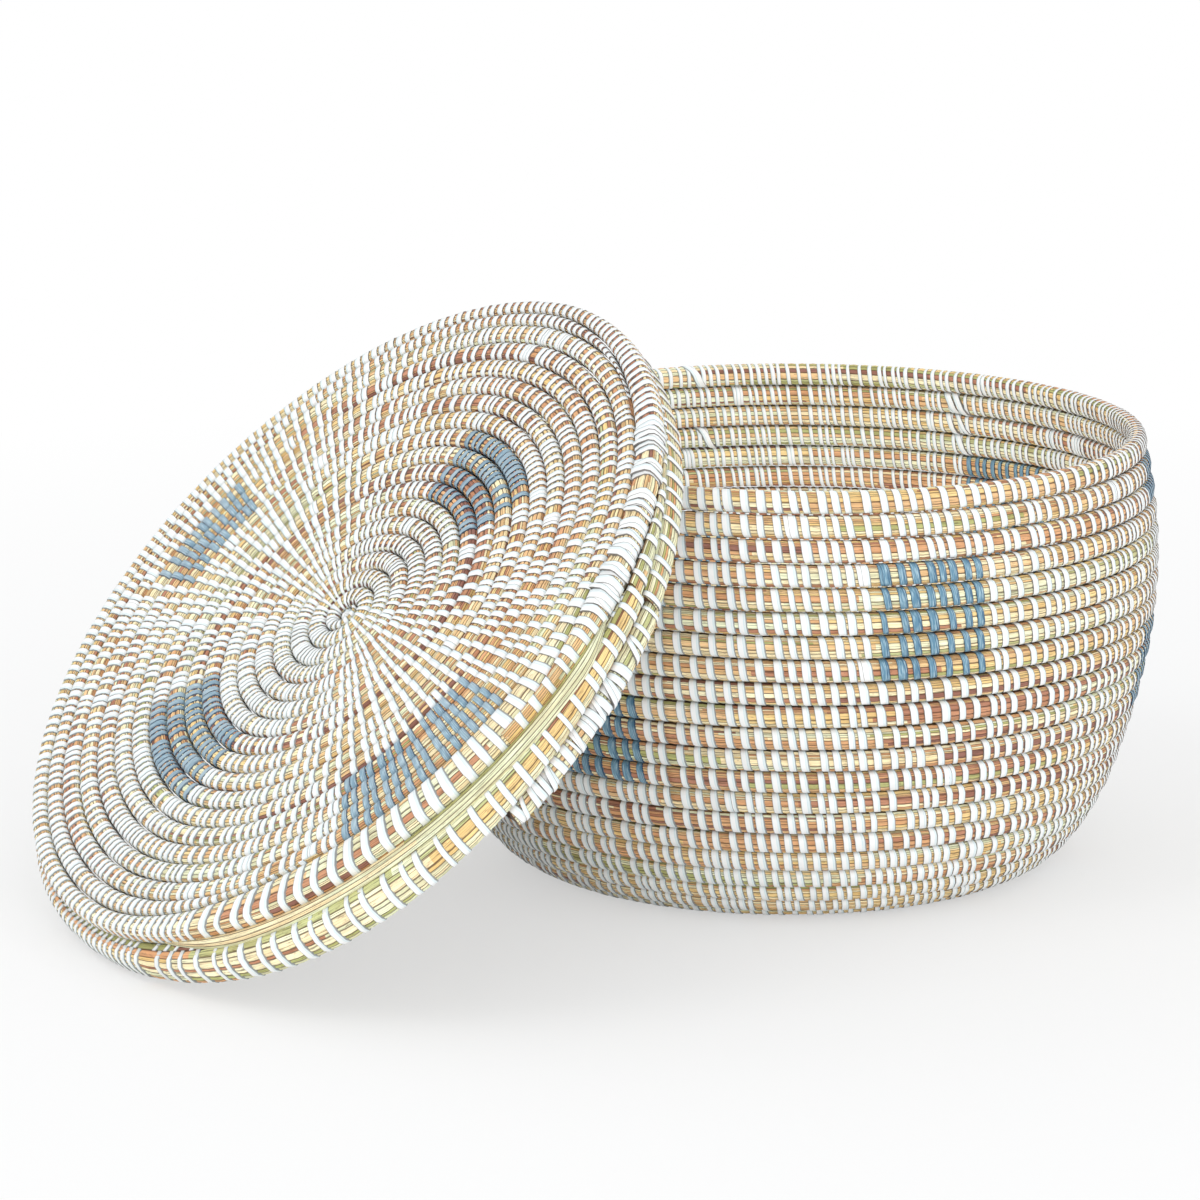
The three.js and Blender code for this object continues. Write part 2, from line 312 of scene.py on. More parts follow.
def edge_inner_course(turned):
    """The second ordinary row, which starts and ends as a point."""
    low = edge_low(turned)
    return flat_row(low, low + np.maximum(inner_row_width(turned), 0.4 * MM), turned)


def edge_band_course(turned):
    """The bare stalks along the outside of the fat bundle."""
    grown = smooth_step(turned, BAND_START, BAND_START + BAND_GROWS)
    grown = grown * (1 - smooth_step(turned, BAND_END - BAND_SHRINKS, BAND_END))
    middle = LID_RADIUS - BAND_TIP_INSET + BAND_OUTWARD * grown
    half = np.maximum(BAND_WIDTH * grown, THINNEST) / 2
    level = BAND_LEVEL + BAND_TIP_LIFT * (1 - grown)
    thickness = np.maximum(BAND_THICKNESS * grown, THINNEST)
    return Course((middle - half, level), (middle + half, level), thickness, lid_angle(turned))


edge_widths = edge_outer_course(np.array([45.0, 200.0])).half_width * 2
print("the fat bundle and the outer row in mm:", np.round(edge_widths / MM, 1))

# %% Sizes of the skirt's rows
SKIRT_TOP = -COIL_GAP
TUCK_LIFT = 3 * MM
PRESSED_UP = 4.4 * MM
PRESSED_LEAST = 0.5
PRESSED_ANGLE = 262
PRESSED_HALF_SWEEP = 100
BAND_ANGLE = 346
BAND_HALF_SWEEP = 80
FILLER_UP = 1.8 * MM
FILLER_LEAST = 0.5 * MM
print("the skirt is pressed up in mm, at most:", PRESSED_UP / MM)


# %% Where the skirt swells and where it is tucked in
def swell_and_tuck(angle):
    """How much the coil has swelled, and how much it is tucked in, at a compass angle."""
    return (nearness(angle, SWELL_ANGLE, SWELL_HALF_SWEEP),
            nearness(angle, TUCK_ANGLE, TUCK_HALF_SWEEP))


def skirt_sides(turned):
    """Middle radius, thickness and bottom of the skirt, and how much it has swelled."""
    swell, tuck = swell_and_tuck(lid_angle(turned))
    inner = RIM_RADIUS + LID_FIT
    outer = inner + SKIRT_WIDTH + SWELL_OUTSIDE * swell - TUCK_OUTSIDE * tuck
    places, drops = np.array(SKIRT_DROP, float).T
    drop = np.interp(turned, places, drops) * MM
    bottom = SKIRT_TOP - SKIRT_HEIGHT - drop - SWELL_BELOW * swell + TUCK_LIFT * tuck
    return (inner + outer) / 2, outer - inner, bottom, swell


print("the skirt's thickness in mm:", np.round(skirt_sides(np.array([0, 120, 240]))[1] / MM, 1))


# %% The rules of the skirt's rows
def skirt_row_top(turned):
    """Top of the skirt's row, which presses up beside the disc where nothing lies between."""
    middle, thickness, bottom, swell = skirt_sides(turned)
    angle = lid_angle(turned)
    least = PRESSED_LEAST * (1 - nearness(angle, BAND_ANGLE, BAND_HALF_SWEEP))
    near = nearness(angle, PRESSED_ANGLE, PRESSED_HALF_SWEEP)
    pressed = PRESSED_UP * np.maximum(near, least)
    return np.minimum(bottom + SKIRT_HEIGHT + SWELL_BELOW * swell, SKIRT_TOP) + pressed


def skirt_course(turned):
    """The skirt's own bundle, which winds down as it goes round."""
    middle, thickness, bottom, swell = skirt_sides(turned)
    return Course((middle, skirt_row_top(turned)), (middle, bottom), thickness, lid_angle(turned))


def skirt_filler_course(turned):
    """The row that fills the space left above the skirt where it winds down."""
    middle, thickness, bottom, swell = skirt_sides(turned)
    low = np.minimum(skirt_row_top(turned), SKIRT_TOP - FILLER_LEAST)
    top = SKIRT_TOP + FILLER_UP
    return Course((middle, top), (middle, low), thickness - THINNEST, lid_angle(turned))


def skirt_end_course(turned):
    """The last short stretch of the coil, one row further down."""
    angle = lid_angle(turned)
    swell, tuck = swell_and_tuck(angle)
    top = SKIRT_TOP - SKIRT_HEIGHT - COIL_GAP - SWELL_BELOW * swell
    thickness = SKIRT_WIDTH - TUCK_OUTSIDE * tuck
    middle = RIM_RADIUS + LID_FIT + thickness / 2
    bottom = top - SKIRT_HEIGHT
    return Course((middle, top + TUCK_LIFT * tuck), (middle, bottom + TUCK_LIFT * tuck),
                  thickness, angle)


skirt_heights = skirt_course(np.array([0, 120, 240])).half_width * 2
print("the skirt's height in mm:", np.round(skirt_heights / MM, 1))

# %% [markdown]
# Each coil also needs to know where its points go, which way its outside faces, how square its
# bundle is and which of its sides lies open. A small record keeps these together, so the later
# steps only ask for a coil.


# %% A coil and its points
def crease_at(around):
    """Nothing in the middle of the bundle's face and one in the creases beside it."""
    return np.abs(np.sin(np.radians(around)))


class Coil:
    """A coil's rule, with what is needed to lay stalks and strips on it."""

    def __init__(self, course, place, facing, squareness, open_sides=(0, 0), open_from=-1e9):
        self.course = course
        self.place = place
        self.facing = facing
        self.squareness = squareness
        self.open_sides = open_sides
        self.open_from = open_from

    def shade_at(self, turn, around):
        """Painted shade: one in the creases beside the bundle, but nothing where that side lies
        open.
        """
        low, high = self.open_sides
        is_open = np.where(np.sin(np.radians(around)) > 0, high, low)
        return crease_at(around) * (1 - is_open * (turn > self.open_from))

    def radius(self, turn):
        return np.maximum(self.course(turn).middle[..., 0], 4 * MM)

    def lay(self, turn, along, around, raised):
        """Points on the bundle: metres along it, degrees around it and metres above it."""
        turned = turn + np.degrees(along / self.radius(turn))
        course = self.course(turned)
        power = 2 / self.squareness
        sine, cosine = np.sin(np.radians(around)), np.cos(np.radians(around))
        side = np.sign(sine) * np.abs(sine) ** power
        face = np.sign(cosine) * np.abs(cosine) ** power
        across = side * course.half_width + sine * raised
        proud = face * course.half_thickness + cosine * raised
        out_r = -self.facing * course.across[..., 1]
        out_z = self.facing * course.across[..., 0]
        radius = course.middle[..., 0] + across * course.across[..., 0] + proud * out_r
        height = course.middle[..., 1] + across * course.across[..., 1] + proud * out_z
        return self.place(radius, height, course.angle)


# %% The eight coils
# A bundle of squareness 2 is oval. The pair says if the sides at its low and high edge lie open
RIM_OPEN_FROM = RIM_TURN - 360 + RIM_END_SHOWN
basket_coil = Coil(basket_course, basket_place, -1, 2.5, (0, 1), RIM_OPEN_FROM)
lid_coil = Coil(lid_course, lid_place, 1, 3.1)
edge_outer_coil = Coil(edge_outer_course, lid_place, 1, 3.0, (0, 1))
edge_inner_coil = Coil(edge_inner_course, lid_place, 1, 2.8)
edge_band_coil = Coil(edge_band_course, lid_place, 1, 2.3, (1, 1))
skirt_coil = Coil(skirt_course, lid_place, 1, 2.6, (1, 1))
skirt_filler_coil = Coil(skirt_filler_course, lid_place, 1, 2.6)
skirt_end_coil = Coil(skirt_end_course, lid_place, 1, 2.5, (0, 1))
rim_point = basket_coil.lay(np.array(float(RIM_TURN)), 0, 90, 0)
print("a point on the rim in mm:", np.round(rim_point / MM, 1))

# %% [markdown]
# Grass never has one colour. The stalks in a bundle are tan, gold, orange-brown, dark red or pale
# green, and each keeps its colour for a hand's length. So the mesh carries a number for each
# stalk's colour and one for how near a point is to the groove between two stalks. The material
# turns these into colour, paints shade in the grooves as thin dark lines, and adds the fine grain
# with noise that is stretched along the bundle.

# %% Colours of the stalks
STALK_COLOURS = [
    ("maroon", (0.20, 0.035, 0.032)),
    ("red_brown", (0.43, 0.145, 0.075)),
    ("orange_brown", (0.64, 0.310, 0.130)),
    ("tan", (0.76, 0.490, 0.240)),
    ("gold", (0.79, 0.560, 0.215)),
    ("straw", (0.91, 0.805, 0.530)),
    ("pale_green", (0.76, 0.81, 0.59)),
    ("green", (0.38, 0.410, 0.125)),
]
STALK_KINDS = [name for name, colour in STALK_COLOURS]

# How often each colour turns up in a stretch of bundle
GRASS_MIXES = {
    "warm": [0.03, 0.10, 0.28, 0.30, 0.14, 0.12, 0.02, 0.01],
    "golden": [0.02, 0.05, 0.12, 0.25, 0.25, 0.24, 0.05, 0.02],
    "olive": [0.03, 0.05, 0.04, 0.06, 0.13, 0.13, 0.26, 0.30],
    "green": [0.01, 0.02, 0.05, 0.10, 0.12, 0.24, 0.34, 0.12],
    "red": [0.14, 0.22, 0.26, 0.19, 0.10, 0.07, 0.01, 0.01],
    "pale": [0.01, 0.02, 0.06, 0.14, 0.11, 0.48, 0.17, 0.01],
    "reed": [0.02, 0.06, 0.10, 0.08, 0.05, 0.17, 0.38, 0.14],
    "bare": [0.00, 0.00, 0.01, 0.03, 0.03, 0.25, 0.66, 0.02],
}

# The colour that sun and age turn all grass to, and how far they have got
BLEACHED = (0.93, 0.86, 0.64)
BLEACHED_SHARE = 0.14


def stalk_tone(kind):
    """A stalk's place on the colour ramp."""
    return (STALK_KINDS.index(kind) + 0.5) / len(STALK_KINDS)


print("stalk colours:", ", ".join(STALK_KINDS))


# %% Small helpers for materials
class Nodes:
    """Adds shader nodes to a material and joins them."""

    def __init__(self, name):
        self.material = bpy.data.materials.new(name)
        self.material.use_nodes = True
        self.tree = self.material.node_tree
        self.shader = self.tree.nodes["Principled BSDF"]
        self.surface = self.shader.inputs

    def add(self, kind, inputs=None, **settings):
        node = self.tree.nodes.new(kind)
        for key, value in settings.items():
            setattr(node, key, value)
        for key, value in (inputs or {}).items():
            if isinstance(value, bpy.types.NodeSocket):
                self.tree.links.new(value, node.inputs[key])
            else:
                node.inputs[key].default_value = value
        return node

    def join(self, output, socket):
        self.tree.links.new(output, socket)

    def attribute(self, name):
        """A number that the mesh carries at each of its points or faces."""
        return self.add("ShaderNodeAttribute", attribute_name=name).outputs["Fac"]

    def noise(self, uv, scale, shift, detail, roughness):
        """Noise with so many features per metre along the uv map's two directions."""
        place = self.add("ShaderNodeMapping", {"Vector": uv, "Scale": (*scale, 1),
                                               "Location": (*shift, 0)}).outputs["Vector"]
        inputs = {"Vector": place, "Scale": 1.0, "Detail": detail, "Roughness": roughness}
        return self.add("ShaderNodeTexNoise", inputs, noise_dimensions="2D").outputs["Fac"]

    def finish(self, colour, roughness, specular, height, strength, distance):
        """Joins the colour and the bump to the surface."""
        bump = self.add("ShaderNodeBump", {"Height": height, "Strength": strength,
                                           "Distance": distance})
        self.join(colour, self.surface["Base Color"])
        self.join(bump.outputs["Normal"], self.surface["Normal"])
        self.surface["Roughness"].default_value = roughness
        self.surface["Specular IOR Level"].default_value = specular
        return self.material

    def ramp(self, value, stops):
        node = self.add("ShaderNodeValToRGB", {"Fac": value})
        elements = node.color_ramp.elements
        while len(elements) < len(stops):
            elements.new(0.5)
        for element, (position, colour) in zip(elements, stops):
            element.position = position
            element.color = (*colour, 1)
        return node.outputs["Color"]

    def grey_ramp(self, value, stops):
        return self.ramp(value, [(position, (grey,) * 3) for position, grey in stops])

    def mix(self, share, first, second, blend="MIX"):
        node = self.add("ShaderNodeMix", data_type="RGBA", blend_type=blend)
        for socket, value in ((node.inputs[0], share), (node.inputs[6], first),
                              (node.inputs[7], second)):
            if isinstance(value, bpy.types.NodeSocket):
                self.join(value, socket)
            else:
                socket.default_value = value if socket == node.inputs[0] else (*value, 1)
        return node.outputs[2]


# %% The grass material
SCUFF = (0.16, 0.075, 0.035)
PAINTED_GROOVE_SHADE = (0.070, 0.028, 0.012)
PAINTED_CREASE_SHADE = (0.035, 0.020, 0.012)


def bleach(colour, brightness):
    kept = 1 - BLEACHED_SHARE
    return tuple(kept * own * brightness + BLEACHED_SHARE * pale
                 for own, pale in zip(colour, BLEACHED))


def make_grass(name, brightness, bump):
    """Stalk colours, then streaks and worn patches, scuffs, and painted shade in the grooves
    between stalks and deep in the creases.
    """
    made = Nodes(name)
    uv = made.add("ShaderNodeUVMap", uv_map="Bundle").outputs["UV"]
    stops = [(stalk_tone(kind), bleach(colour, brightness)) for kind, colour in STALK_COLOURS]
    base = made.ramp(made.attribute("tone"), stops)
    streaks = made.noise(uv, (45, 2600), (3.1, 5.27), 3, 0.6)
    streak_light = made.grey_ramp(streaks, [(0.30, 0.28), (0.45, 0.93), (0.70, 1.22)])
    streaked = made.mix(0.9, base, streak_light, "MULTIPLY")
    patches = made.noise(uv, (26, 150), (7.7, 13.09), 2, 0.6)
    patch_tint = made.ramp(patches, [(0.35, (0.80, 0.66, 0.50)), (0.62, (1.06, 1.05, 1.0))])
    patched = made.mix(0.55, streaked, patch_tint, "MULTIPLY")
    scuffs = made.noise(uv, (190, 900), (1.3, 2.21), 2, 0.6)
    scuffed = made.mix(made.grey_ramp(scuffs, [(0.62, 0.0), (0.74, 0.4)]), patched, SCUFF)
    # Painted shade: the grooves between stalks are darkened to thin dark lines
    between = made.grey_ramp(made.attribute("crest"), [(0.0, 0.95), (0.12, 0.75), (0.29, 0.0)])
    lined = made.mix(between, scuffed, PAINTED_GROOVE_SHADE)
    # Painted shade, deep in the creases between the rows
    in_crease = made.grey_ramp(made.attribute("crease"), [(0.945, 0.0), (0.99, 0.9)])
    coloured = made.mix(in_crease, lined, PAINTED_CREASE_SHADE)
    return made.finish(coloured, 0.62, 0.35, streaks, bump, 0.35 * MM)


basket_grass = make_grass("basket_grass", 1.13, 0.7)
lid_grass = make_grass("lid_grass", 1.15, 0.7)
lid_edge_grass = make_grass("lid_edge_grass", 1.16, 0.8)
print("grass materials:", basket_grass.name, lid_grass.name, lid_edge_grass.name)

# %% [markdown]
# The strips are cut from thin shiny plastic and folded over once, so a lengthwise line shows
# where the fold ends, and the single layer beside it lets the dark grass through as a cool tint.
# The blue ones are the same strip in a dusty blue.


# %% The strip materials
# Colours of the folded strip, of its single edge, of worn fibres, and of the shade painted beside
# it and in the creases
WHITE_LAYERS = ((0.86, 0.87, 0.87), (0.60, 0.74, 0.78), (0.82, 0.86, 0.87), (0.13, 0.11, 0.10))
BLUE_LAYERS = ((0.115, 0.245, 0.350), (0.05, 0.13, 0.22), (0.46, 0.63, 0.70), (0.01, 0.03, 0.07))

# What the lid's blue strips have bleached to, as the lid takes most of the sun
FADED = (0.62, 0.71, 0.75)


def make_strip(name, layers, seed, roughness):
    """The fold, then fibres, each strip's own tone and fading, then painted shadow along its sides
    and painted shade in the creases.
    """
    made = Nodes(name)
    folded, single, fibre, shade = layers
    uv = made.add("ShaderNodeUVMap", uv_map="Strip").outputs["UV"]
    across = made.add("ShaderNodeSeparateXYZ", {"Vector": uv}).outputs["X"]
    edge = made.grey_ramp(across, [(0.62, 0.0), (0.67, 1.0), (0.74, 0.5), (0.95, 0.9)])
    layered = made.mix(edge, folded, single)
    lines = made.noise(uv, (9, 160), (seed, seed), 3, 0.5)
    lined = made.mix(made.grey_ramp(lines, [(0.46, 0.0), (0.72, 0.8)]), layered, fibre)
    dull = made.grey_ramp(made.attribute("tone"), [(0.0, 0.90), (0.35, 0.98), (1.0, 1.0)])
    toned = made.mix(1.0, lined, dull, "MULTIPLY")
    faded = made.mix(made.attribute("fade"), toned, FADED)
    # Painted shadow: a dark line along each side of the strip
    painted_side_shadow = made.grey_ramp(across, [(0.08, 0.85), (0.13, 0.0), (0.89, 0.0), (0.92, 0.7)])
    with_side_shadow = made.mix(painted_side_shadow, faded, shade)
    # Painted shade where the strip dips into the crease
    in_crease = made.grey_ramp(made.attribute("crease"), [(0.972, 0.0), (0.997, 0.8)])
    coloured = made.mix(in_crease, with_side_shadow, shade)
    return made.finish(coloured, roughness, 0.3, lines, 0.35, 0.2 * MM)


white_strip = make_strip("white_strip", WHITE_LAYERS, 2.0, 0.45)
blue_strip = make_strip("blue_strip", BLUE_LAYERS, 5.0, 0.38)
print("strip materials:", white_strip.name, blue_strip.name)

# %% [markdown]
# One strip is modelled once and copied thousands of times. It starts as a flat rectangle, the
# section of the strip: wide and thin, with its two upper corners drawn in. Extruding it step by
# step makes a straight band, and the band is then bent round the bundle. It is cheap, fewer than
# sixty faces, because it is repeated so often.

# %% Model one strip
STRIP_WIDTH = 3.5 * MM
STRIP_RISE = 0.9 * MM
STRIP_STEPS = 13

# Which side's upper corners are drawn in, and by how much of the strip's width
CORNERS_DRAWN_IN = ((1, -0.07), (-1, 0.10))


def model_strip():
    """A straight band whose y runs from 0 to 1, which is once round the bundle."""
    bpy.ops.mesh.primitive_plane_add(size=1, location=(0, 0, 0), rotation=(math.pi / 2, 0, 0))
    band = bpy.context.object
    bpy.ops.object.transform_apply(location=False, rotation=True, scale=False)
    bpy.ops.object.mode_set(mode="EDIT")
    bpy.ops.transform.resize(value=(STRIP_WIDTH, 1, STRIP_RISE))
    bpy.ops.transform.translate(value=(0, 0, STRIP_RISE / 2))
    bpy.ops.object.mode_set(mode="OBJECT")
    for side, share in CORNERS_DRAWN_IN:
        for vertex in band.data.vertices:
            vertex.select = vertex.co.z > STRIP_RISE / 2 and vertex.co.x * side > 0
        shift_selected(band, (share * STRIP_WIDTH, 0, 0))
    bpy.ops.object.mode_set(mode="EDIT")
    bpy.ops.mesh.select_all(action="SELECT")
    step = (0, 1 / STRIP_STEPS, 0)
    for _ in range(STRIP_STEPS):
        bpy.ops.mesh.extrude_region_move(TRANSFORM_OT_translate={"value": step})
    bpy.ops.mesh.select_all(action="SELECT")
    bpy.ops.mesh.normals_make_consistent(inside=False)
    bpy.ops.object.mode_set(mode="OBJECT")
    return band


def shift_selected(piece, move):
    """Moves the vertices that are selected, in edit mode."""
    bpy.context.view_layer.objects.active = piece
    bpy.ops.object.mode_set(mode="EDIT")
    bpy.ops.mesh.select_mode(type="VERT")
    bpy.ops.transform.translate(value=move)
    bpy.ops.mesh.select_all(action="DESELECT")
    bpy.ops.object.mode_set(mode="OBJECT")


strip_model = model_strip()
print("faces in one strip:", len(strip_model.data.polygons))


# %% Read the strip's mesh once
def read_mesh(piece):
    """The corners of a mesh, and its faces as lists of corners, in the same order each run."""
    corners = np.array([v.co for v in piece.data.vertices], float)
    faces = sorted(list(face.vertices) for face in piece.data.polygons)
    bpy.data.objects.remove(piece)
    return corners, faces


STRIP_CORNERS, STRIP_FACES = read_mesh(strip_model)
assert all(len(face) == 4 for face in STRIP_FACES)
STRIP_FACES = np.array(STRIP_FACES)
ALONG_STEP = np.round(STRIP_CORNERS[:, 1] * STRIP_STEPS).astype(int)
print("corners in one strip:", len(STRIP_CORNERS))

# %% [markdown]
# Thousands of copies are too many to make with operators one by one. Their corners are worked out
# as arrays and written into one mesh for each round, which takes a moment.


# %% Write a mesh from arrays
def write_mesh(name, points, quads, caps, material):
    """A mesh from its points, four-cornered faces and end caps, with one material."""
    mesh = bpy.data.meshes.new(name)
    mesh.vertices.add(len(points))
    mesh.vertices.foreach_set("co", np.asarray(points, np.float32).ravel())
    sizes = [4] * len(quads) + [len(cap) for cap in caps]
    corners = np.concatenate([quads.ravel()] + [np.array(cap) for cap in caps])
    mesh.loops.add(len(corners))
    mesh.loops.foreach_set("vertex_index", corners.astype(np.int32))
    mesh.polygons.add(len(sizes))
    starts = np.concatenate([[0], np.cumsum(sizes)[:-1]]).astype(np.int32)
    mesh.polygons.foreach_set("loop_start", starts)
    mesh.update(calc_edges=True)
    mesh.validate()
    mesh.materials.append(material)
    piece = bpy.data.objects.new(name, mesh)
    bpy.context.scene.collection.objects.link(piece)
    return piece, corners


def set_attribute(piece, name, domain, values):
    attribute = piece.data.attributes.new(name, "FLOAT", domain)
    attribute.data.foreach_set("value", np.asarray(values, np.float32))


def set_uv(piece, name, pairs):
    layer = piece.data.uv_layers.new(name=name)
    layer.data.foreach_set("uv", np.asarray(pairs, np.float32).ravel())


def faces_point_out(points, quads):
    """True if the signed volume of closed faces is positive."""
    a, b, c, d = (points[quads[:, i]] for i in range(4))
    volume = np.einsum("ij,ij->i", a, np.cross(b, c)) + np.einsum("ij,ij->i", a, np.cross(c, d))
    return volume.sum() > 0


print("the model strip's faces point out:", bool(faces_point_out(STRIP_CORNERS, STRIP_FACES)))

# %% [markdown]
# Where the stitches go is the maker's choice. Each new stitch goes through the round below beside
# the stitch that is already there, so the strips line up in columns. As a disc grows, a gap
# becomes too wide and gets an extra stitch, and where it is too tight one is left out.


# %% Choose where the stitches go
TOO_TIGHT = 0.62
TOO_WIDE = 1.42
EVENNESS = 0.12
WANDER = 0.07


def sew(coil, start, end, pitch, seed):
    """Turns, in degrees, at which a coil is stitched from start to end."""
    random = np.random.default_rng(seed)
    stitches = [float(start)]
    parent = 1
    while stitches[-1] < end:
        last = stitches[-1]
        step = math.degrees(pitch(last) / float(coil.radius(np.array(last))))
        place = last + step
        if last > start + 360:
            while stitches[parent] + 360 - last < TOO_TIGHT * step:
                parent += 1
            gap = stitches[parent] + 360 - last
            if gap > TOO_WIDE * step:
                place = last + gap / 2
            else:
                place = last + gap * (1 - EVENNESS) + step * EVENNESS
                parent += 1
        stitches.append(place + random.normal(0, WANDER) * step)
    return np.array(stitches[:-1])


# %% How far apart the stitches are
# Distances here are in mm
FOOT_PITCH = 5.5
WALL_PITCH = 6.5
NEAR_SIDE_MORE = 1.6
MIDDLE_PITCH = 3.7
OUTER_MORE = 2.8
TIGHT_SIDE_LESS = 0.9

# Compass angles, and the degrees of coil over which one distance gives way to another
NEAR_SIDE = -123.7
TIGHT_SIDE = 240
TIGHT_HALF_SWEEP = 100
FOOT_TURNS = (3900, 5700)
MIDDLE_TURNS = (300, 2600)


def wall_pitch(turn):
    """The base, the foot and the far side are sewn tighter than the near side."""
    around = math.radians(BASKET_START_ANGLE - turn - NEAR_SIDE)
    wall = WALL_PITCH + NEAR_SIDE_MORE * math.cos(around)
    return (FOOT_PITCH + (wall - FOOT_PITCH) * smooth_step(turn, *FOOT_TURNS)) * MM


def lid_pitch(turn):
    """The middle and one side of the lid are sewn tighter than the rest."""
    side = nearness(math.radians(LID_START_ANGLE - turn), TIGHT_SIDE, TIGHT_HALF_SWEEP)
    outer = OUTER_MORE * smooth_step(turn, *MIDDLE_TURNS)
    return (MIDDLE_PITCH + outer - TIGHT_SIDE_LESS * side) * MM


print("the last stitches lie apart in mm:", round(wall_pitch(RIM_TURN) / MM, 1),
      round(lid_pitch(EDGE_START) / MM, 1))

# %% Sew the basket and the lid
DOUBLED_SHARE = 0.012
DOUBLED_GAP = (1.8, 2.9)


def with_doubles(coil, stitches, seed):
    """Now and then a second strip is squeezed in beside a stitch."""
    random = np.random.default_rng(seed)
    chosen = stitches[random.uniform(0, 1, len(stitches)) < DOUBLED_SHARE]
    beside = np.degrees(random.uniform(*DOUBLED_GAP, len(chosen)) * MM / coil.radius(chosen))
    return np.sort(np.concatenate([stitches, chosen + beside]))


basket_stitches = sew(basket_coil, -600, RIM_TURN + RIM_END_SHOWN, wall_pitch, 11)
basket_stitches = with_doubles(basket_coil, basket_stitches, 12)
lid_stitches = with_doubles(lid_coil, sew(lid_coil, -380, EDGE_START, lid_pitch, 23), 24)
print("stitches on the basket and the lid:", len(basket_stitches), len(lid_stitches))

# %% [markdown]
# Ten to twenty stalks show round a bundle. Its mesh has a ring of points at each stitch, where the
# strip pulls the stalks in, and one between stitches, where they spring out again. Every stalk
# has a point on its crest and one in the groove beside it, so the stalks are real ridges.

# %% Sizes of the stalks
STALK_GROOVE = 0.34 * MM
STALK_CREST = 0.16 * MM
PINCH = 0.42 * MM
GRASS_SINK = 0.35 * MM
FULL_RELIEF_FROM = 3 * MM
BUNDLE_GIRTH = 38 * MM

# Lengths in metres, widths beside each other, and how fast and how much a width changes
STALK_LENGTHS = (0.05, 0.20)
STALK_WIDTHS = (0.55, 1.6)
WIDTH_WAVES = (4, 11)
WIDTH_CHANGE = 0.3
TONE_SPREAD = 0.035
PLAN_STEP = 2.0
PLAN_MARGIN = 20
print("a stalk's ridge in mm:", round((STALK_GROOVE + STALK_CREST) / MM, 2))


# %% Plan the stalks of one coil
class Bundle:
    """The stalks of one coil: their widths, their colours and how both change along it."""

    def __init__(self, coil, start, end, stalks, mix_at, seed):
        random = np.random.default_rng(seed)
        self.coil = coil
        self.turns = np.arange(start - PLAN_MARGIN, end + PLAN_MARGIN, PLAN_STEP)
        self.length = np.cumsum(np.radians(PLAN_STEP) * coil.radius(self.turns))
        self.widths = random.uniform(*STALK_WIDTHS, stalks)
        self.waves = random.uniform(*WIDTH_WAVES, stalks)
        self.phases = random.uniform(0, 6.28, stalks)
        self.colours = [self.colour_run(random, mix_at) for _ in range(stalks)]

    def colour_run(self, random, mix_at):
        """Where one stalk ends and the next begins, and the colour of each."""
        ends, tones = [], []
        place = random.uniform(0, 0.1)
        while place < self.length[-1] + 0.2:
            place += random.uniform(*STALK_LENGTHS)
            turn = float(np.interp(place, self.length, self.turns))
            shares = np.array(GRASS_MIXES[mix_at(turn)])
            kind = random.choice(STALK_KINDS, p=shares / shares.sum())
            ends.append(place)
            tones.append(stalk_tone(kind) + random.uniform(-TONE_SPREAD, TONE_SPREAD))
        return np.array(ends), np.array(tones)

    def metres(self, turns):
        return np.interp(turns, self.turns, self.length)

    def tones(self, turns):
        """Colour numbers, one row for each turn and one column for each stalk."""
        place = self.metres(turns)
        return np.stack([tones[np.searchsorted(ends, place)] for ends, tones in self.colours], -1)

    def edges(self, turns):
        """Degrees round the bundle at which each stalk starts, from the lower crease."""
        place = self.metres(turns)[:, None]
        widths = self.widths * (1 + WIDTH_CHANGE * np.sin(place * self.waves + self.phases))
        sums = np.cumsum(widths, axis=1)
        return np.concatenate([np.zeros((len(turns), 1)), sums], 1) / sums[:, -1:] * 360 - 90


# %% How a stitch leans
def lean_at(around, front_lean, back_lean):
    """How far along the bundle a stitch has gone at so many degrees round it."""
    share = (around + 90) / 360
    front = np.clip(0.5 - share, 0, 0.5) * 2
    back = np.clip(share - 0.5, 0, 0.5) * 2
    return -front_lean * front ** 1.5 + back_lean * back


print("lean at a stitch's two ends in mm:", lean_at(-90, 2.1, 3.0), lean_at(270, 2.1, 3.0))


# %% Where the rings of a bundle lie
RING_STEP = 2.0


def ring_turns(stitches, start, end):
    """Turns of the rings between start and end, and how tight the bundle is at each."""
    if len(stitches) == 0:
        chosen = np.linspace(start, end, int((end - start) / RING_STEP) + 2)
        return chosen, np.zeros(len(chosen))
    middles = (stitches[1:] + stitches[:-1]) / 2
    turns = np.concatenate([stitches, middles])
    tight = np.concatenate([np.ones(len(stitches)), np.zeros(len(middles))])
    order = np.argsort(turns)
    turns, tight = turns[order], tight[order]
    inside = (turns > start + 0.05) & (turns < end - 0.05)
    chosen = np.concatenate([[start], turns[inside], [end]])
    return chosen, np.interp(chosen, turns, tight)


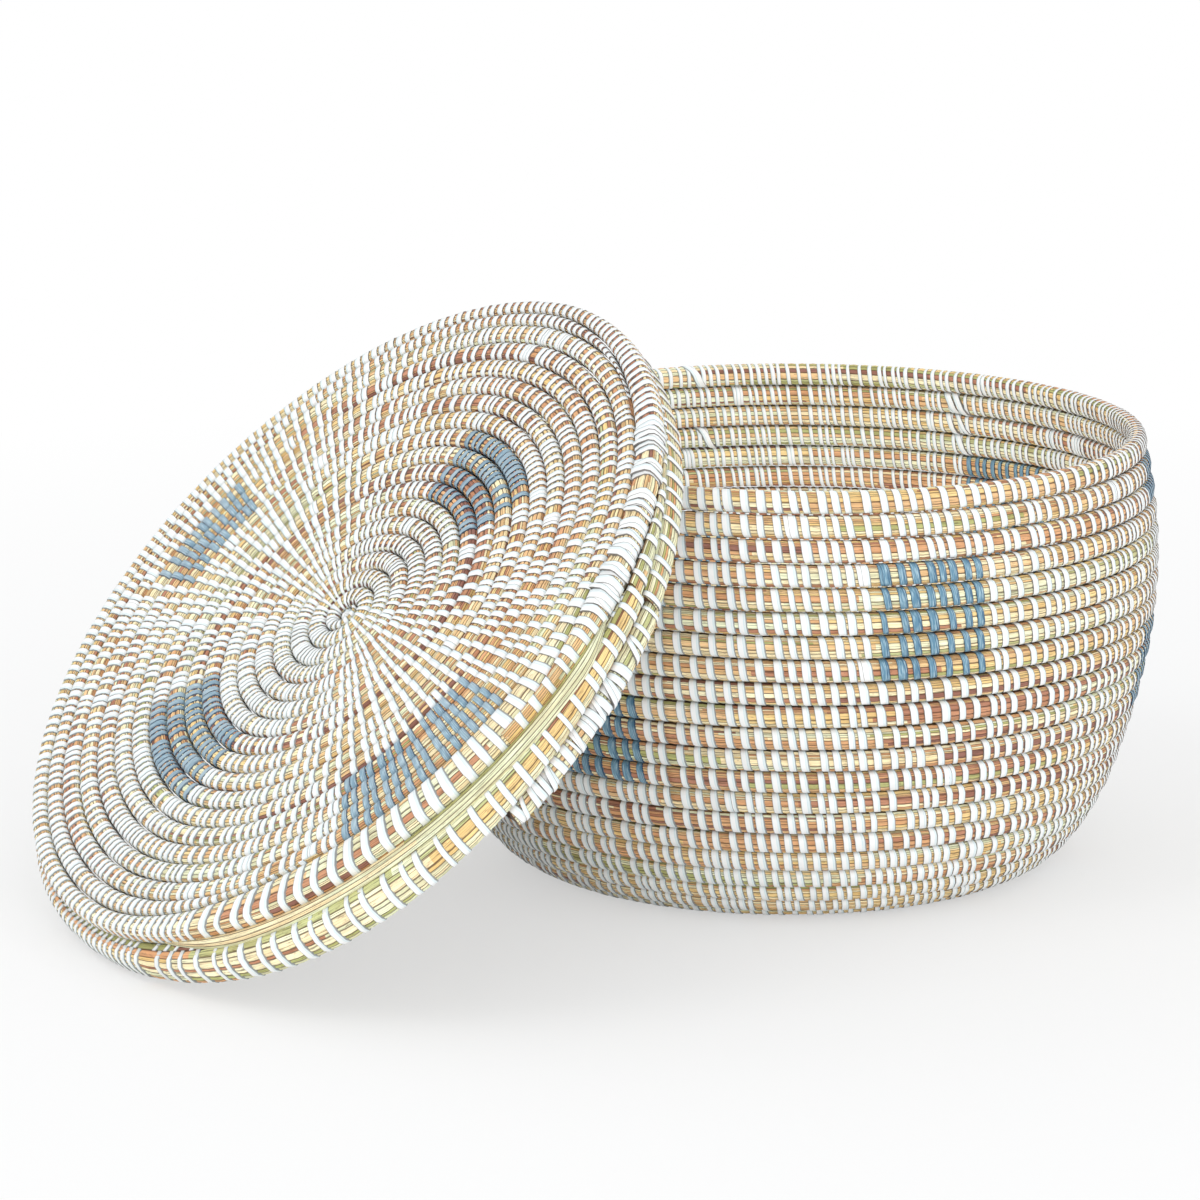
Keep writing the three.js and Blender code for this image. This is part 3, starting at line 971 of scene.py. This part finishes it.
# %% Build the grass of one piece
def build_grass(name, bundle, sewing, start, end, material):
    """A closed bundle of stalks from one turn to another."""
    turns, tight = ring_turns(sewing.turns, start, end)
    edges = bundle.edges(turns)
    crests = (edges[:, 1:] + edges[:, :-1]) / 2
    around = np.stack([edges[:, :-1], crests], -1).reshape(len(turns), -1)
    sides = around.shape[1]
    half_width = bundle.coil.course(turns).half_width
    narrow = np.minimum(1, half_width / FULL_RELIEF_FROM)[:, None]
    relief = np.tile([-STALK_GROOVE, STALK_CREST], sides // 2)[None, :] * narrow
    raised = relief - PINCH * tight[:, None] * narrow - GRASS_SINK
    lean = lean_at(around, *sewing.leans)
    points = bundle.coil.lay(turns[:, None] + 0 * around, lean, around, raised)
    ring, side = np.meshgrid(np.arange(len(turns) - 1), np.arange(sides), indexing="ij")
    after = (side + 1) % sides
    quads = np.stack([ring * sides + side, (ring + 1) * sides + side,
                      (ring + 1) * sides + after, ring * sides + after], -1).reshape(-1, 4)
    points = points.reshape(-1, 3)
    last = (len(turns) - 1) * sides
    caps = [list(range(sides)), list(range(last + sides - 1, last - 1, -1))]
    if not faces_point_out(points, quads):
        quads = quads[:, ::-1]
        caps = [cap[::-1] for cap in caps]
    piece, corners = write_mesh(name, points, quads, caps, material)
    piece.data.shade_smooth()
    tones = bundle.tones((turns[1:] + turns[:-1]) / 2)
    faces = np.repeat(tones, 2, axis=1).ravel()
    set_attribute(piece, "tone", "FACE", np.concatenate([faces, [stalk_tone("tan")] * 2]))
    # The crest number also places the painted shade in the grooves between stalks
    set_attribute(piece, "crest", "POINT", np.tile([0.0, 1.0], len(points) // 2))
    # How much shade is painted in the creases at each point of the grass
    shade = bundle.coil.shade_at(turns[:, None], around)
    set_attribute(piece, "crease", "POINT", shade.ravel())
    metres = np.repeat(bundle.metres(turns), sides)
    uv = np.stack([metres, (around.ravel() + 90) / 360 * BUNDLE_GIRTH], -1)
    set_uv(piece, "Bundle", uv[corners])
    return piece


# %% [markdown]
# Now the strips. A stitch starts in the crease below the bundle, crosses its face to the crease
# above, and comes back down behind. It leans a little, because the next stitch starts further
# on. The real ones are uneven, so each copy gets its own width, lean and height.

# %% A row of stitches
FRONT_LEAN = 2.1 * MM
BACK_LEAN = 3.0 * MM

# How much the stitches of one row differ from each other
WIDTH_SPREAD = 0.10
FRONT_SPREAD = 0.35 * MM
BACK_SPREAD = 0.5 * MM
RISE_SPREAD = 0.12


class Stitches:
    """The stitches of a stretch: where each is, and how each differs from the model strip."""

    def __init__(self, turns, seed, width=1.0, front_lean=FRONT_LEAN, back_lean=BACK_LEAN,
                 rise=1.0, unevenness=1.0, fade=0.0):
        random = np.random.default_rng(seed)
        count = len(turns)
        self.leans = (front_lean, back_lean)
        self.turns = turns
        spread = WIDTH_SPREAD * min(unevenness, 2)
        self.width = width * (1 + spread * random.normal(0, 1, count))
        self.front_lean = front_lean + FRONT_SPREAD * unevenness * random.normal(0, 1, count)
        self.back_lean = back_lean + BACK_SPREAD * unevenness * random.normal(0, 1, count)
        spread = RISE_SPREAD * min(unevenness, 3)
        self.rise = rise * (1 + spread * random.uniform(-1, 1.6, count))
        self.tone = random.uniform(0, 1, count) ** 0.5
        self.fade = fade * random.uniform(0.5, 1.5, count)

    def only(self, wanted):
        """Some of these stitches, as they are."""
        chosen = Stitches.__new__(Stitches)
        for key, value in self.__dict__.items():
            setattr(chosen, key, value if key == "leans" else value[wanted])
        return chosen


def join(*parts):
    """Stitches of several kinds, put in order along the coil."""
    joined = parts[0].only(slice(0, 0))
    turns = np.concatenate([part.turns for part in parts])
    order = np.argsort(turns)
    for key in ("turns", "width", "front_lean", "back_lean", "rise", "tone", "fade"):
        values = np.concatenate([getattr(part, key) for part in parts])
        setattr(joined, key, values[order])
    return joined


# %% Keep a strip's long edges sharp
def keep_long_edges_sharp(piece):
    """The strip's lengthwise edges stay crisp, and the bend round the bundle stays smooth."""
    ends = np.zeros(len(piece.data.edges) * 2, np.int32)
    piece.data.edges.foreach_get("vertices", ends)
    steps = ALONG_STEP[ends.reshape(-1, 2) % len(STRIP_CORNERS)]
    sharp = piece.data.attributes.new("sharp_edge", "BOOLEAN", "EDGE")
    sharp.data.foreach_set("value", steps[:, 0] != steps[:, 1])


print("rings of corners along one strip:", len(set(ALONG_STEP.tolist())))

# %% Build the strips of one piece
STRIP_SINK = 0.45 * MM
CREASE_NARROWS = 0.14
CREASE_FLATTENS = 0.45
STRIP_GIRTH = 40 * MM

# How far the pattern of fibres moves on from one strip to the next, in metres
FIBRE_SHIFT = 0.37


def build_strips(name, coil, stitches, material):
    """Bends a copy of the model strip round the bundle at each stitch."""
    x, y, z = STRIP_CORNERS.T
    count = len(stitches.turns)
    around = (y * 360 - 90)[None, :]
    lean = lean_at(around, stitches.front_lean[:, None], stitches.back_lean[:, None])
    in_crease = crease_at(around) ** 6
    narrowed = 1 - CREASE_NARROWS * in_crease
    along = x[None, :] * stitches.width[:, None] * narrowed + lean
    height = z[None, :] * stitches.rise[:, None]
    raised = height * (1 - CREASE_FLATTENS * in_crease) - (PINCH + STRIP_SINK)
    turn = stitches.turns[:, None] + 0 * along
    points = coil.lay(turn, along, around + 0 * along, raised).reshape(-1, 3)
    offsets = np.arange(count)[:, None, None] * len(STRIP_CORNERS)
    quads = (STRIP_FACES[None, :, :] + offsets).reshape(-1, 4)
    if not faces_point_out(points[:len(STRIP_CORNERS)], quads[:len(STRIP_FACES)]):
        quads = quads[:, ::-1]
    piece, corners = write_mesh(name, points, quads, [], material)
    piece.data.shade_smooth()
    keep_long_edges_sharp(piece)
    for key in ("tone", "fade"):
        set_attribute(piece, key, "POINT", np.repeat(getattr(stitches, key), len(STRIP_CORNERS)))
    # How much shade is painted on each corner of a strip in the creases
    shade = coil.shade_at(stitches.turns[:, None], around)
    set_attribute(piece, "crease", "POINT", shade.ravel())
    wide = np.tile(0.5 - x / STRIP_WIDTH, count)
    long = np.tile(y * STRIP_GIRTH, count)
    long = long + np.repeat(np.arange(count) * FIBRE_SHIFT, len(x))
    set_uv(piece, "Strip", np.stack([wide, long], -1)[corners])
    return piece


# %% [markdown]
# The pattern is a set of blue blocks. On the basket they stand in two heights that take turns
# round it, and on the lid four blocks lie at different distances from the middle. A stitch is
# blue if its middle falls in a block.

# %% Where the blue blocks are
# First row and last row counted down from the rim, and compass angles of the block's two sides
WALL_BLOCKS = [
    (4, 8, -110.6, -93.6),
    (5, 9, 7.5, 24.5),
    (4, 8, 126, 143),
    (9, 12, -163.0, -145.6),
    (9, 12, -50.0, -32.0),
    (9, 12, 66, 83),
    (2, 3, -46.5, -31.0),
]

# Angle of the block's two sides and radii of its inner and outer edge, seen from the lid's top
LID_BLOCKS = [
    (50, 94, 68 * MM, 112 * MM),
    (163, 188, 130 * MM, 172 * MM),
    (225, 270, 81 * MM, 125 * MM),
    (322, 356, 129 * MM, 174 * MM),
]
print("blue blocks on the basket and the lid:", len(WALL_BLOCKS), len(LID_BLOCKS))


# %% Which stitches are blue
def angle_between(angle, low, high):
    return (angle - low) % 360 <= (high - low) % 360


def wall_row(turns):
    """The row, counted down from the rim, that a turn lies in, and its compass angle."""
    row = np.ceil((BASE_ROUNDS + WALL_ROUNDS) - turns / 360)
    return row, (BASKET_START_ANGLE - turns) % 360


def is_blue_on_wall(turns):
    row, azimuth = wall_row(turns)
    blue = np.zeros(len(turns), bool)
    for first, last, low, high in WALL_BLOCKS:
        blue |= (row >= first) & (row <= last) & angle_between(azimuth, low, high)
    return blue


def is_blue_on_lid(turns):
    angle = (LID_START_ANGLE - turns) % 360
    radius = lid_coil.radius(turns)
    blue = np.zeros(len(turns), bool)
    for low, high, inner, outer in LID_BLOCKS:
        blue |= (radius > inner) & (radius < outer) & angle_between(angle, low, high)
    return blue


print("blue stitches:", int(is_blue_on_wall(basket_stitches).sum()),
      int(is_blue_on_lid(lid_stitches).sum()))

# %% [markdown]
# Everything is ready to dress a round. The grass replaces the solid, and the strips ride on the
# same body.


# %% Dress one round
def finish_piece(piece, body):
    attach(piece, body)


def dress(node, label, bundle, stitches, blue, start, end, body, material):
    """Grass and strips for one stretch of a coil, standing for a node if one is given."""
    grass = build_grass(label + "_grass", bundle, stitches, start, end, material)
    finish_piece(grass, body)
    if node:
        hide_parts(node)
    inside = (stitches.turns >= start) & (stitches.turns < end)
    for colour, mask, finish in (("white", inside & ~blue, white_strip),
                                 ("blue", inside & blue, blue_strip)):
        if mask.any():
            name = f"{label}_{colour}_strips"
            strips = build_strips(name, bundle.coil, stitches.only(mask), finish)
            finish_piece(strips, body)


# %% [markdown]
# The maker takes up a new handful of grass every half metre or so, and each handful has its own
# mix of colours. The outside rows and the inside rows that show are chosen one by one, and a
# handful of another kind is put in here and there.

# %% Choose the grass of the wall
# One kind for each row, counted down from the rim, on the front half and on the back half
FRONT_ROWS = ("warm warm warm golden green golden golden warm golden red "
              "green warm pale red golden warm green pale golden pale").split()
BACK_ROWS = ("olive olive golden olive olive red warm golden red green "
             "warm golden green warm pale golden warm pale green pale").split()
FRONT_ANGLES = (143, -30)

# Degrees of coil in a handful, the share of odd ones, and after how many their order repeats
HANDFUL = 26
ODD_HANDFULS = 0.3
HANDFULS = 997


def make_mix_rule(usual_mix, seed):
    """A function from a turn to a kind of grass: mostly the usual one for that place."""
    random = np.random.default_rng(seed)
    odd = random.uniform(0, 1, HANDFULS) < ODD_HANDFULS
    others = random.choice(["warm", "golden", "green", "red", "pale"], HANDFULS)

    def mix_at(turn):
        handful = int(turn // HANDFUL) % HANDFULS
        return str(others[handful]) if odd[handful] else usual_mix(turn)

    return mix_at


def usual_wall_mix(turn):
    row, azimuth = wall_row(np.array([turn]))
    rows = FRONT_ROWS if angle_between(azimuth[0], *FRONT_ANGLES) else BACK_ROWS
    return rows[int(row[0]) - 1] if 1 <= row[0] <= len(rows) else "warm"


print("a row's grass:", usual_wall_mix(10000.0), "and", usual_wall_mix(10200.0))

# %% [markdown]
# The basket comes first: the start of the coil, ten flat rounds and twenty that climb. A few loose
# strips hang slantwise on its inside, where the maker joined a new strip to the last one.

# %% Sew the basket's stitches
LOOSE_TURNS = [10585, 10576.5, 9507, 9499.5, 10271, 10272.5, 9911, 9912.6, 9552.5]

# The share of the grass that the strips cover low down, and how much less they cover higher up
COVERED_LOW = 0.70
COVERED_LESS = 0.12
COVERED_TURNS = (3900, 6500)
DARK_SIDES = 0.8 * MM

pitches = np.array([wall_pitch(turn) for turn in basket_stitches])
covered = COVERED_LOW - COVERED_LESS * smooth_step(basket_stitches, *COVERED_TURNS)
basket_widths = covered * (pitches - DARK_SIDES) / STRIP_WIDTH
plain_sewing = Stitches(basket_stitches, 41, width=basket_widths, front_lean=3.1 * MM)
loose = Stitches(np.array(LOOSE_TURNS), 44, width=1.15, back_lean=11 * MM, rise=1.7,
                 unevenness=3)
basket_sewing = join(plain_sewing, loose)
basket_blue = is_blue_on_wall(basket_sewing.turns)
print("loose strips:", len(LOOSE_TURNS))

# %% Dress the basket
basket_mix = make_mix_rule(usual_wall_mix, 29)
basket_bundle = Bundle(basket_coil, -660, RIM_TURN + RIM_END_SHOWN, 18, basket_mix, 31)


def dress_basket(node, start, end):
    dress(node, node, basket_bundle, basket_sewing, basket_blue, start, end, "basket",
          basket_grass)


dress_basket("base_start", -655, 0)
for index in range(BASE_ROUNDS):
    dress_basket(f"base_round_{index + 1:02d}", index * 360, (index + 1) * 360)
for index in range(WALL_ROUNDS):
    turn = (BASE_ROUNDS + index) * 360
    dress_basket(f"wall_round_{index + 1:02d}", turn, turn + 360)
dress_basket("rim_end", RIM_TURN, RIM_TURN + RIM_END_SHOWN)

# %% [markdown]
# The lid's disc is made the same way, from grass that is a little redder.

# %% Choose the grass of the lid
PALE_SIDES = ((100, 165), (225, 300))
WARM_SIDE = (165, 225)
REDDER_PATCH = 130


def usual_lid_mix(turn):
    """Red and warm on one side of the lid, and paler on two others."""
    angle = (LID_START_ANGLE - turn) % 360
    if any(angle_between(angle, *side) for side in PALE_SIDES):
        return "pale"
    if angle_between(angle, *WARM_SIDE):
        return "warm"
    return "red" if int(turn // REDDER_PATCH) % 3 else "warm"


print("the lid's grass:", usual_lid_mix(0), "and", usual_lid_mix(260))

# %% Dress the lid's disc
LID_LEANS = {"front_lean": 1.0 * MM, "back_lean": 3.0 * MM}
LID_FADE = 0.26
MIDDLE_WIDTH = 0.69
OUTER_WIDTH_MORE = 0.38

lid_mix = make_mix_rule(usual_lid_mix, 35)
lid_bundle = Bundle(lid_coil, -450, EDGE_START, 18, lid_mix, 37)
lid_widths = MIDDLE_WIDTH + OUTER_WIDTH_MORE * smooth_step(lid_stitches, *MIDDLE_TURNS)
lid_blue = is_blue_on_lid(lid_stitches)
lid_sewing = Stitches(lid_stitches, 43, width=lid_widths, fade=LID_FADE * lid_blue, **LID_LEANS)


def dress_lid(node, start, end):
    dress(node, node, lid_bundle, lid_sewing, lid_blue, start, end, "lid", lid_grass)


dress_lid("lid_start", -445, 0)
for index in range(LID_ROUNDS):
    dress_lid(f"lid_round_{index + 1:02d}", index * 360, (index + 1) * 360)

# %% [markdown]
# The edge is where the lid differs most from a plain spiral: a fat bundle with broad strips, bare
# stalks outside it, and two ordinary rows further round. None of it is blue.

# %% Dress a stretch of the lid's edge
PALE_UNTIL = 130


def dress_edge(node, label, coil, stalks, mix_at, start, end, sewing, seed):
    bundle = Bundle(coil, start, end, stalks, mix_at, seed)
    dress(node, label, bundle, sewing, np.zeros(len(sewing.turns), bool), start, end, "lid",
          lid_edge_grass)


def spaced(start, end, step, jitter, seed):
    """Turns at nearly even steps."""
    turns = np.arange(start, end, step)
    return turns + np.random.default_rng(seed).normal(0, jitter, len(turns))


def even_pitch(distance):
    return lambda turn: distance


def reed_mix(turn):
    return "green" if int(turn // 25) % 3 == 1 else "reed"


def row_mix(turn):
    mixes = ("pale", "warm", "golden", "red")
    return mixes[int(turn // 30) % 4] if turn > PALE_UNTIL else "pale"


def edge_mix(turn):
    """Pale grass and green reed beside the bare band, and then as in the other rows."""
    return "reed" if turn < PALE_UNTIL and int(turn // 20) % 3 == 0 else row_mix(turn)


# %% The untidy wraps
UNDER_KEPT = 0.78


def untidy(start, end, seed):
    """Broad overlapping turns of strip, with some that run slantwise across them."""
    under = Stitches(spaced(start, end, 1.25, 0.4, seed), seed + 1, width=1.15, rise=1.3,
                     front_lean=0.6 * MM, back_lean=3 * MM, unevenness=3.5)
    kept = np.random.default_rng(seed + 4).uniform(0, 1, len(under.turns)) < UNDER_KEPT
    across = Stitches(spaced(start + 1, end, 3.4, 1.0, seed + 2), seed + 3, width=1.05, rise=1.9,
                      front_lean=6 * MM, back_lean=-2 * MM, unevenness=5)
    return join(under.only(kept), across)


# %% Dress the fat bundle, the second row and the bare band
BROAD_UNTIL = 84
MESSY_FROM = 331
MESSY_UNTIL = 368
EDGE_PITCH = 5.9 * MM

fat = Stitches(spaced(-1, BROAD_UNTIL, 3.0, 0.2, 5), 61, width=1.5, rise=1.15, **LID_LEANS)
plain_turns = sew(edge_outer_coil, BROAD_UNTIL + 2, MESSY_FROM, even_pitch(EDGE_PITCH), 47)
plain = Stitches(plain_turns, 62, width=1.2, **LID_LEANS)
messy = untidy(MESSY_FROM, MESSY_UNTIL, 48)
last_turns = spaced(MESSY_UNTIL + 2, OLD_EDGE_END - 1, 2.9, 0.2, 6)
last = Stitches(last_turns, 63, width=1.3, **LID_LEANS)
dress_edge("lid_edge_round", "lid_edge_outer", edge_outer_coil, 20, edge_mix, 0.1,
           OLD_EDGE_END, join(fat, plain, messy, last), 64)
inner_turns = sew(edge_inner_coil, SPLIT_START + 3, MERGE_END - 4, even_pitch(EDGE_PITCH), 53)
dress_edge(None, "lid_edge_inner", edge_inner_coil, 18, row_mix, SPLIT_START, MERGE_END,
           Stitches(inner_turns, 65, width=1.2, **LID_LEANS), 66)
bare = Stitches(np.zeros(0), 67)
dress_edge(None, "lid_edge_band", edge_band_coil, 10, lambda turn: "bare", BAND_START, BAND_END,
           bare, 68)

# %% [markdown]
# The skirt hangs below the edge. Near the end of the coil its bundle is fattest and the strips are
# far apart, and at the far side it is sewn as tightly as the rest. The very end is bound with many
# untidy turns of strip.

# %% Dress the skirt
SPARSE_UNTIL = 96
SPARSE_FROM = 296
FILLER_START = 322
SKIRT_PITCH = 5.8 * MM


def sparse(start, end, seed):
    return Stitches(spaced(start, end, 2.9, 0.35, seed), seed + 1, width=1.05, unevenness=1.6,
                    back_lean=4 * MM)


tight_turns = sew(skirt_coil, SPARSE_UNTIL + 2, SPARSE_FROM, even_pitch(SKIRT_PITCH), 73)
tight = Stitches(tight_turns, 72, width=1.15)
skirt_sewing = join(sparse(1, SPARSE_UNTIL, 70), tight, sparse(SPARSE_FROM + 2, 359.5, 74))
dress_edge("skirt_round", "skirt", skirt_coil, 18, reed_mix, 0.1, 359.9, skirt_sewing, 79)
dress_edge(None, "skirt_filler", skirt_filler_coil, 14, reed_mix, FILLER_START, 359.9,
           sparse(FILLER_START + 4, 359.5, 83), 89)
dress_edge("skirt_end", "skirt_end", skirt_end_coil, 14, reed_mix, 0.1, SKIRT_END_SWEEP,
           join(sparse(1, 8, 91), untidy(8, SKIRT_END_SWEEP - 0.3, 94)), 97)

# %% [markdown]
# The coil of the lid starts from a small wound knot. It is a ball, cut into flat-ended segments by
# the strip that is wound on it.

# %% Model the start knot
KNOT_WINDS = 7
KNOT_TWIST = 2.2
KNOT_GROOVE = 0.22


def model_knot():
    """A ball with grooves that wind round it, set in the middle of its solid."""
    low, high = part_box("lid_start_knot")
    middle = (low + high) / 2
    bpy.ops.mesh.primitive_uv_sphere_add(segments=36, ring_count=20, radius=KNOT_RADIUS)
    knot = bpy.context.object
    knot.name = "lid_start_knot_winding"
    points = np.array([v.co for v in knot.data.vertices], float)
    angle = np.arctan2(points[:, 1], points[:, 0]) + points[:, 2] / KNOT_RADIUS * KNOT_TWIST
    near_groove = np.abs(np.cos(angle * KNOT_WINDS / 2))
    points = points * (0.97 - KNOT_GROOVE * near_groove ** 6)[:, None]
    points = points @ LID_TURN.T + np.array(middle)
    knot.data.vertices.foreach_set("co", points.astype(np.float32).ravel())
    knot.data.update()
    knot.data.shade_smooth()
    knot.data.materials.append(white_strip)
    knot.data.uv_layers.active.name = "Strip"
    set_attribute(knot, "tone", "POINT", np.full(len(points), 0.4))
    # The grooves of the knot get painted shade
    set_attribute(knot, "crease", "POINT", near_groove)
    return knot


start_knot = model_knot()
finish_piece(start_knot, "lid_knot")
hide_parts("lid_start_knot")
print("knot faces:", len(start_knot.data.polygons))

# %% [markdown]
# The object stands on a plain floor, a large disc of matt white. It throws light up at the object
# as white paper does, and the camera sees it a shade darker near the object, which keeps the soft
# shadow. Further away the camera sees it turn to pure white, as in a studio with a bright cove.

# %% The floor's material
FLOOR_AS_LIT = (0.95, 0.95, 0.95)
FLOOR_AS_SEEN = (0.79, 0.797, 0.803)

# Distance from the middle in metres times the scale, and the share of pure white there
GLOW_SCALE = 0.35
GLOW_STOPS = [(0.12, 0.52), (0.42, 1.0)]


def make_floor_material():
    made = Nodes("floor_white")
    made.surface["Roughness"].default_value = 0.9
    made.surface["Specular IOR Level"].default_value = 0.1

    def math_node(operation, first, second):
        return made.add("ShaderNodeMath", {0: first, 1: second}, operation=operation).outputs[0]

    place = made.add("ShaderNodeTexCoord").outputs["Object"]
    far = made.add("ShaderNodeVectorMath", {0: place}, operation="LENGTH").outputs["Value"]
    away = made.grey_ramp(math_node("MULTIPLY", far, GLOW_SCALE), GLOW_STOPS)
    rays = made.add("ShaderNodeLightPath").outputs
    made.join(made.mix(rays["Is Camera Ray"], FLOOR_AS_LIT, FLOOR_AS_SEEN),
              made.surface["Base Color"])
    seen = math_node("MAXIMUM", rays["Is Camera Ray"], rays["Is Glossy Ray"])
    glow = made.add("ShaderNodeEmission", {"Color": (1, 1, 1, 1), "Strength": 1.0})
    blend = made.add("ShaderNodeMixShader", {"Fac": math_node("MULTIPLY", away, seen)})
    made.join(made.shader.outputs[0], blend.inputs[1])
    made.join(glow.outputs[0], blend.inputs[2])
    made.join(blend.outputs[0], made.tree.nodes["Material Output"].inputs["Surface"])
    return made.material


# %% The floor
FLOOR_RADIUS = 14

bpy.ops.mesh.primitive_circle_add(vertices=96, radius=FLOOR_RADIUS, fill_type="NGON")
floor = bpy.context.object
floor.name = "floor"
floor.data.materials.append(make_floor_material())
print("floor across in m:", FLOOR_RADIUS * 2)

# %% [markdown]
# The camera looks down a little from far away with a long lens, as the photographer's did. Its
# place was worked out from the ellipse of the rim and of the lid.

# %% The camera
CAMERA_PLACE = Vector((-1.4974, -2.2451, 0.7621))
CAMERA_TURN = 2.011 - 33.7
CAMERA_DOWN = 13.152
CAMERA_LENS = 159.77


def add_camera():
    data = bpy.data.cameras.new("camera")
    data.lens = CAMERA_LENS
    data.sensor_width = 36
    data.clip_end = 60
    camera = bpy.data.objects.new("camera", data)
    camera.location = CAMERA_PLACE
    camera.rotation_euler = (math.radians(90 - CAMERA_DOWN), 0, math.radians(CAMERA_TURN))
    bpy.context.scene.collection.objects.link(camera)
    bpy.context.scene.camera = camera
    return camera


camera = add_camera()
print("camera at:", [round(value, 3) for value in camera.location])

# %% [markdown]
# The light is soft and nearly even: a white sky, a large lamp high on the left that casts the
# shadows to the right, one in front and a weaker one on the right that keep the sides open, and
# a small one low in the basket that opens up the far side of its inside.


# %% The lamps
def add_lamp(name, right, toward, up, size, energy, colour, aim=(0, 0, 0.12)):
    """A square lamp aimed at the object, placed as the camera sees it."""
    turn = math.radians(CAMERA_TURN)
    across = Vector((math.cos(turn), math.sin(turn), 0))
    away = Vector((-math.sin(turn), math.cos(turn), 0))
    data = bpy.data.lights.new(name, "AREA")
    data.shape = "SQUARE"
    data.size = size
    data.energy = energy
    data.color = colour
    lamp = bpy.data.objects.new(name, data)
    lamp.location = across * right - away * toward + Vector((0, 0, up))
    target = across * aim[0] - away * aim[1] + Vector((0, 0, aim[2]))
    lamp.rotation_euler = (target - lamp.location).to_track_quat("-Z", "Y").to_euler()
    lamp.visible_camera = False
    bpy.context.scene.collection.objects.link(lamp)


add_lamp("key_lamp", -1.9, 1.2, 2.6, size=1.5, energy=16, colour=(1.0, 0.99, 0.97))
add_lamp("front_lamp", 0.5, 2.8, 0.6, size=1.6, energy=19, colour=(1.0, 1.0, 1.0))
add_lamp("fill_lamp", 2.2, 1.6, 1.4, size=1.8, energy=8, colour=(0.97, 0.99, 1.0))
add_lamp("inside_lamp", 0.02, 0.09, 0.07, size=0.12, energy=0.33, colour=(1.0, 1.0, 1.0),
         aim=(0, -0.18, 0.2))
print("lamps:", len(bpy.data.lights))

# %% The sky
SKY_STRENGTH = 1.0


def make_sky():
    world = bpy.data.worlds.new("sky")
    world.use_nodes = True
    background = world.node_tree.nodes["Background"]
    background.inputs["Color"].default_value = (1, 1, 1, 1)
    background.inputs["Strength"].default_value = SKY_STRENGTH
    bpy.context.scene.world = world
    return world


sky = make_sky()
bpy.context.scene.view_settings.view_transform = "Standard"
print("world:", sky.name)

# %% [markdown]
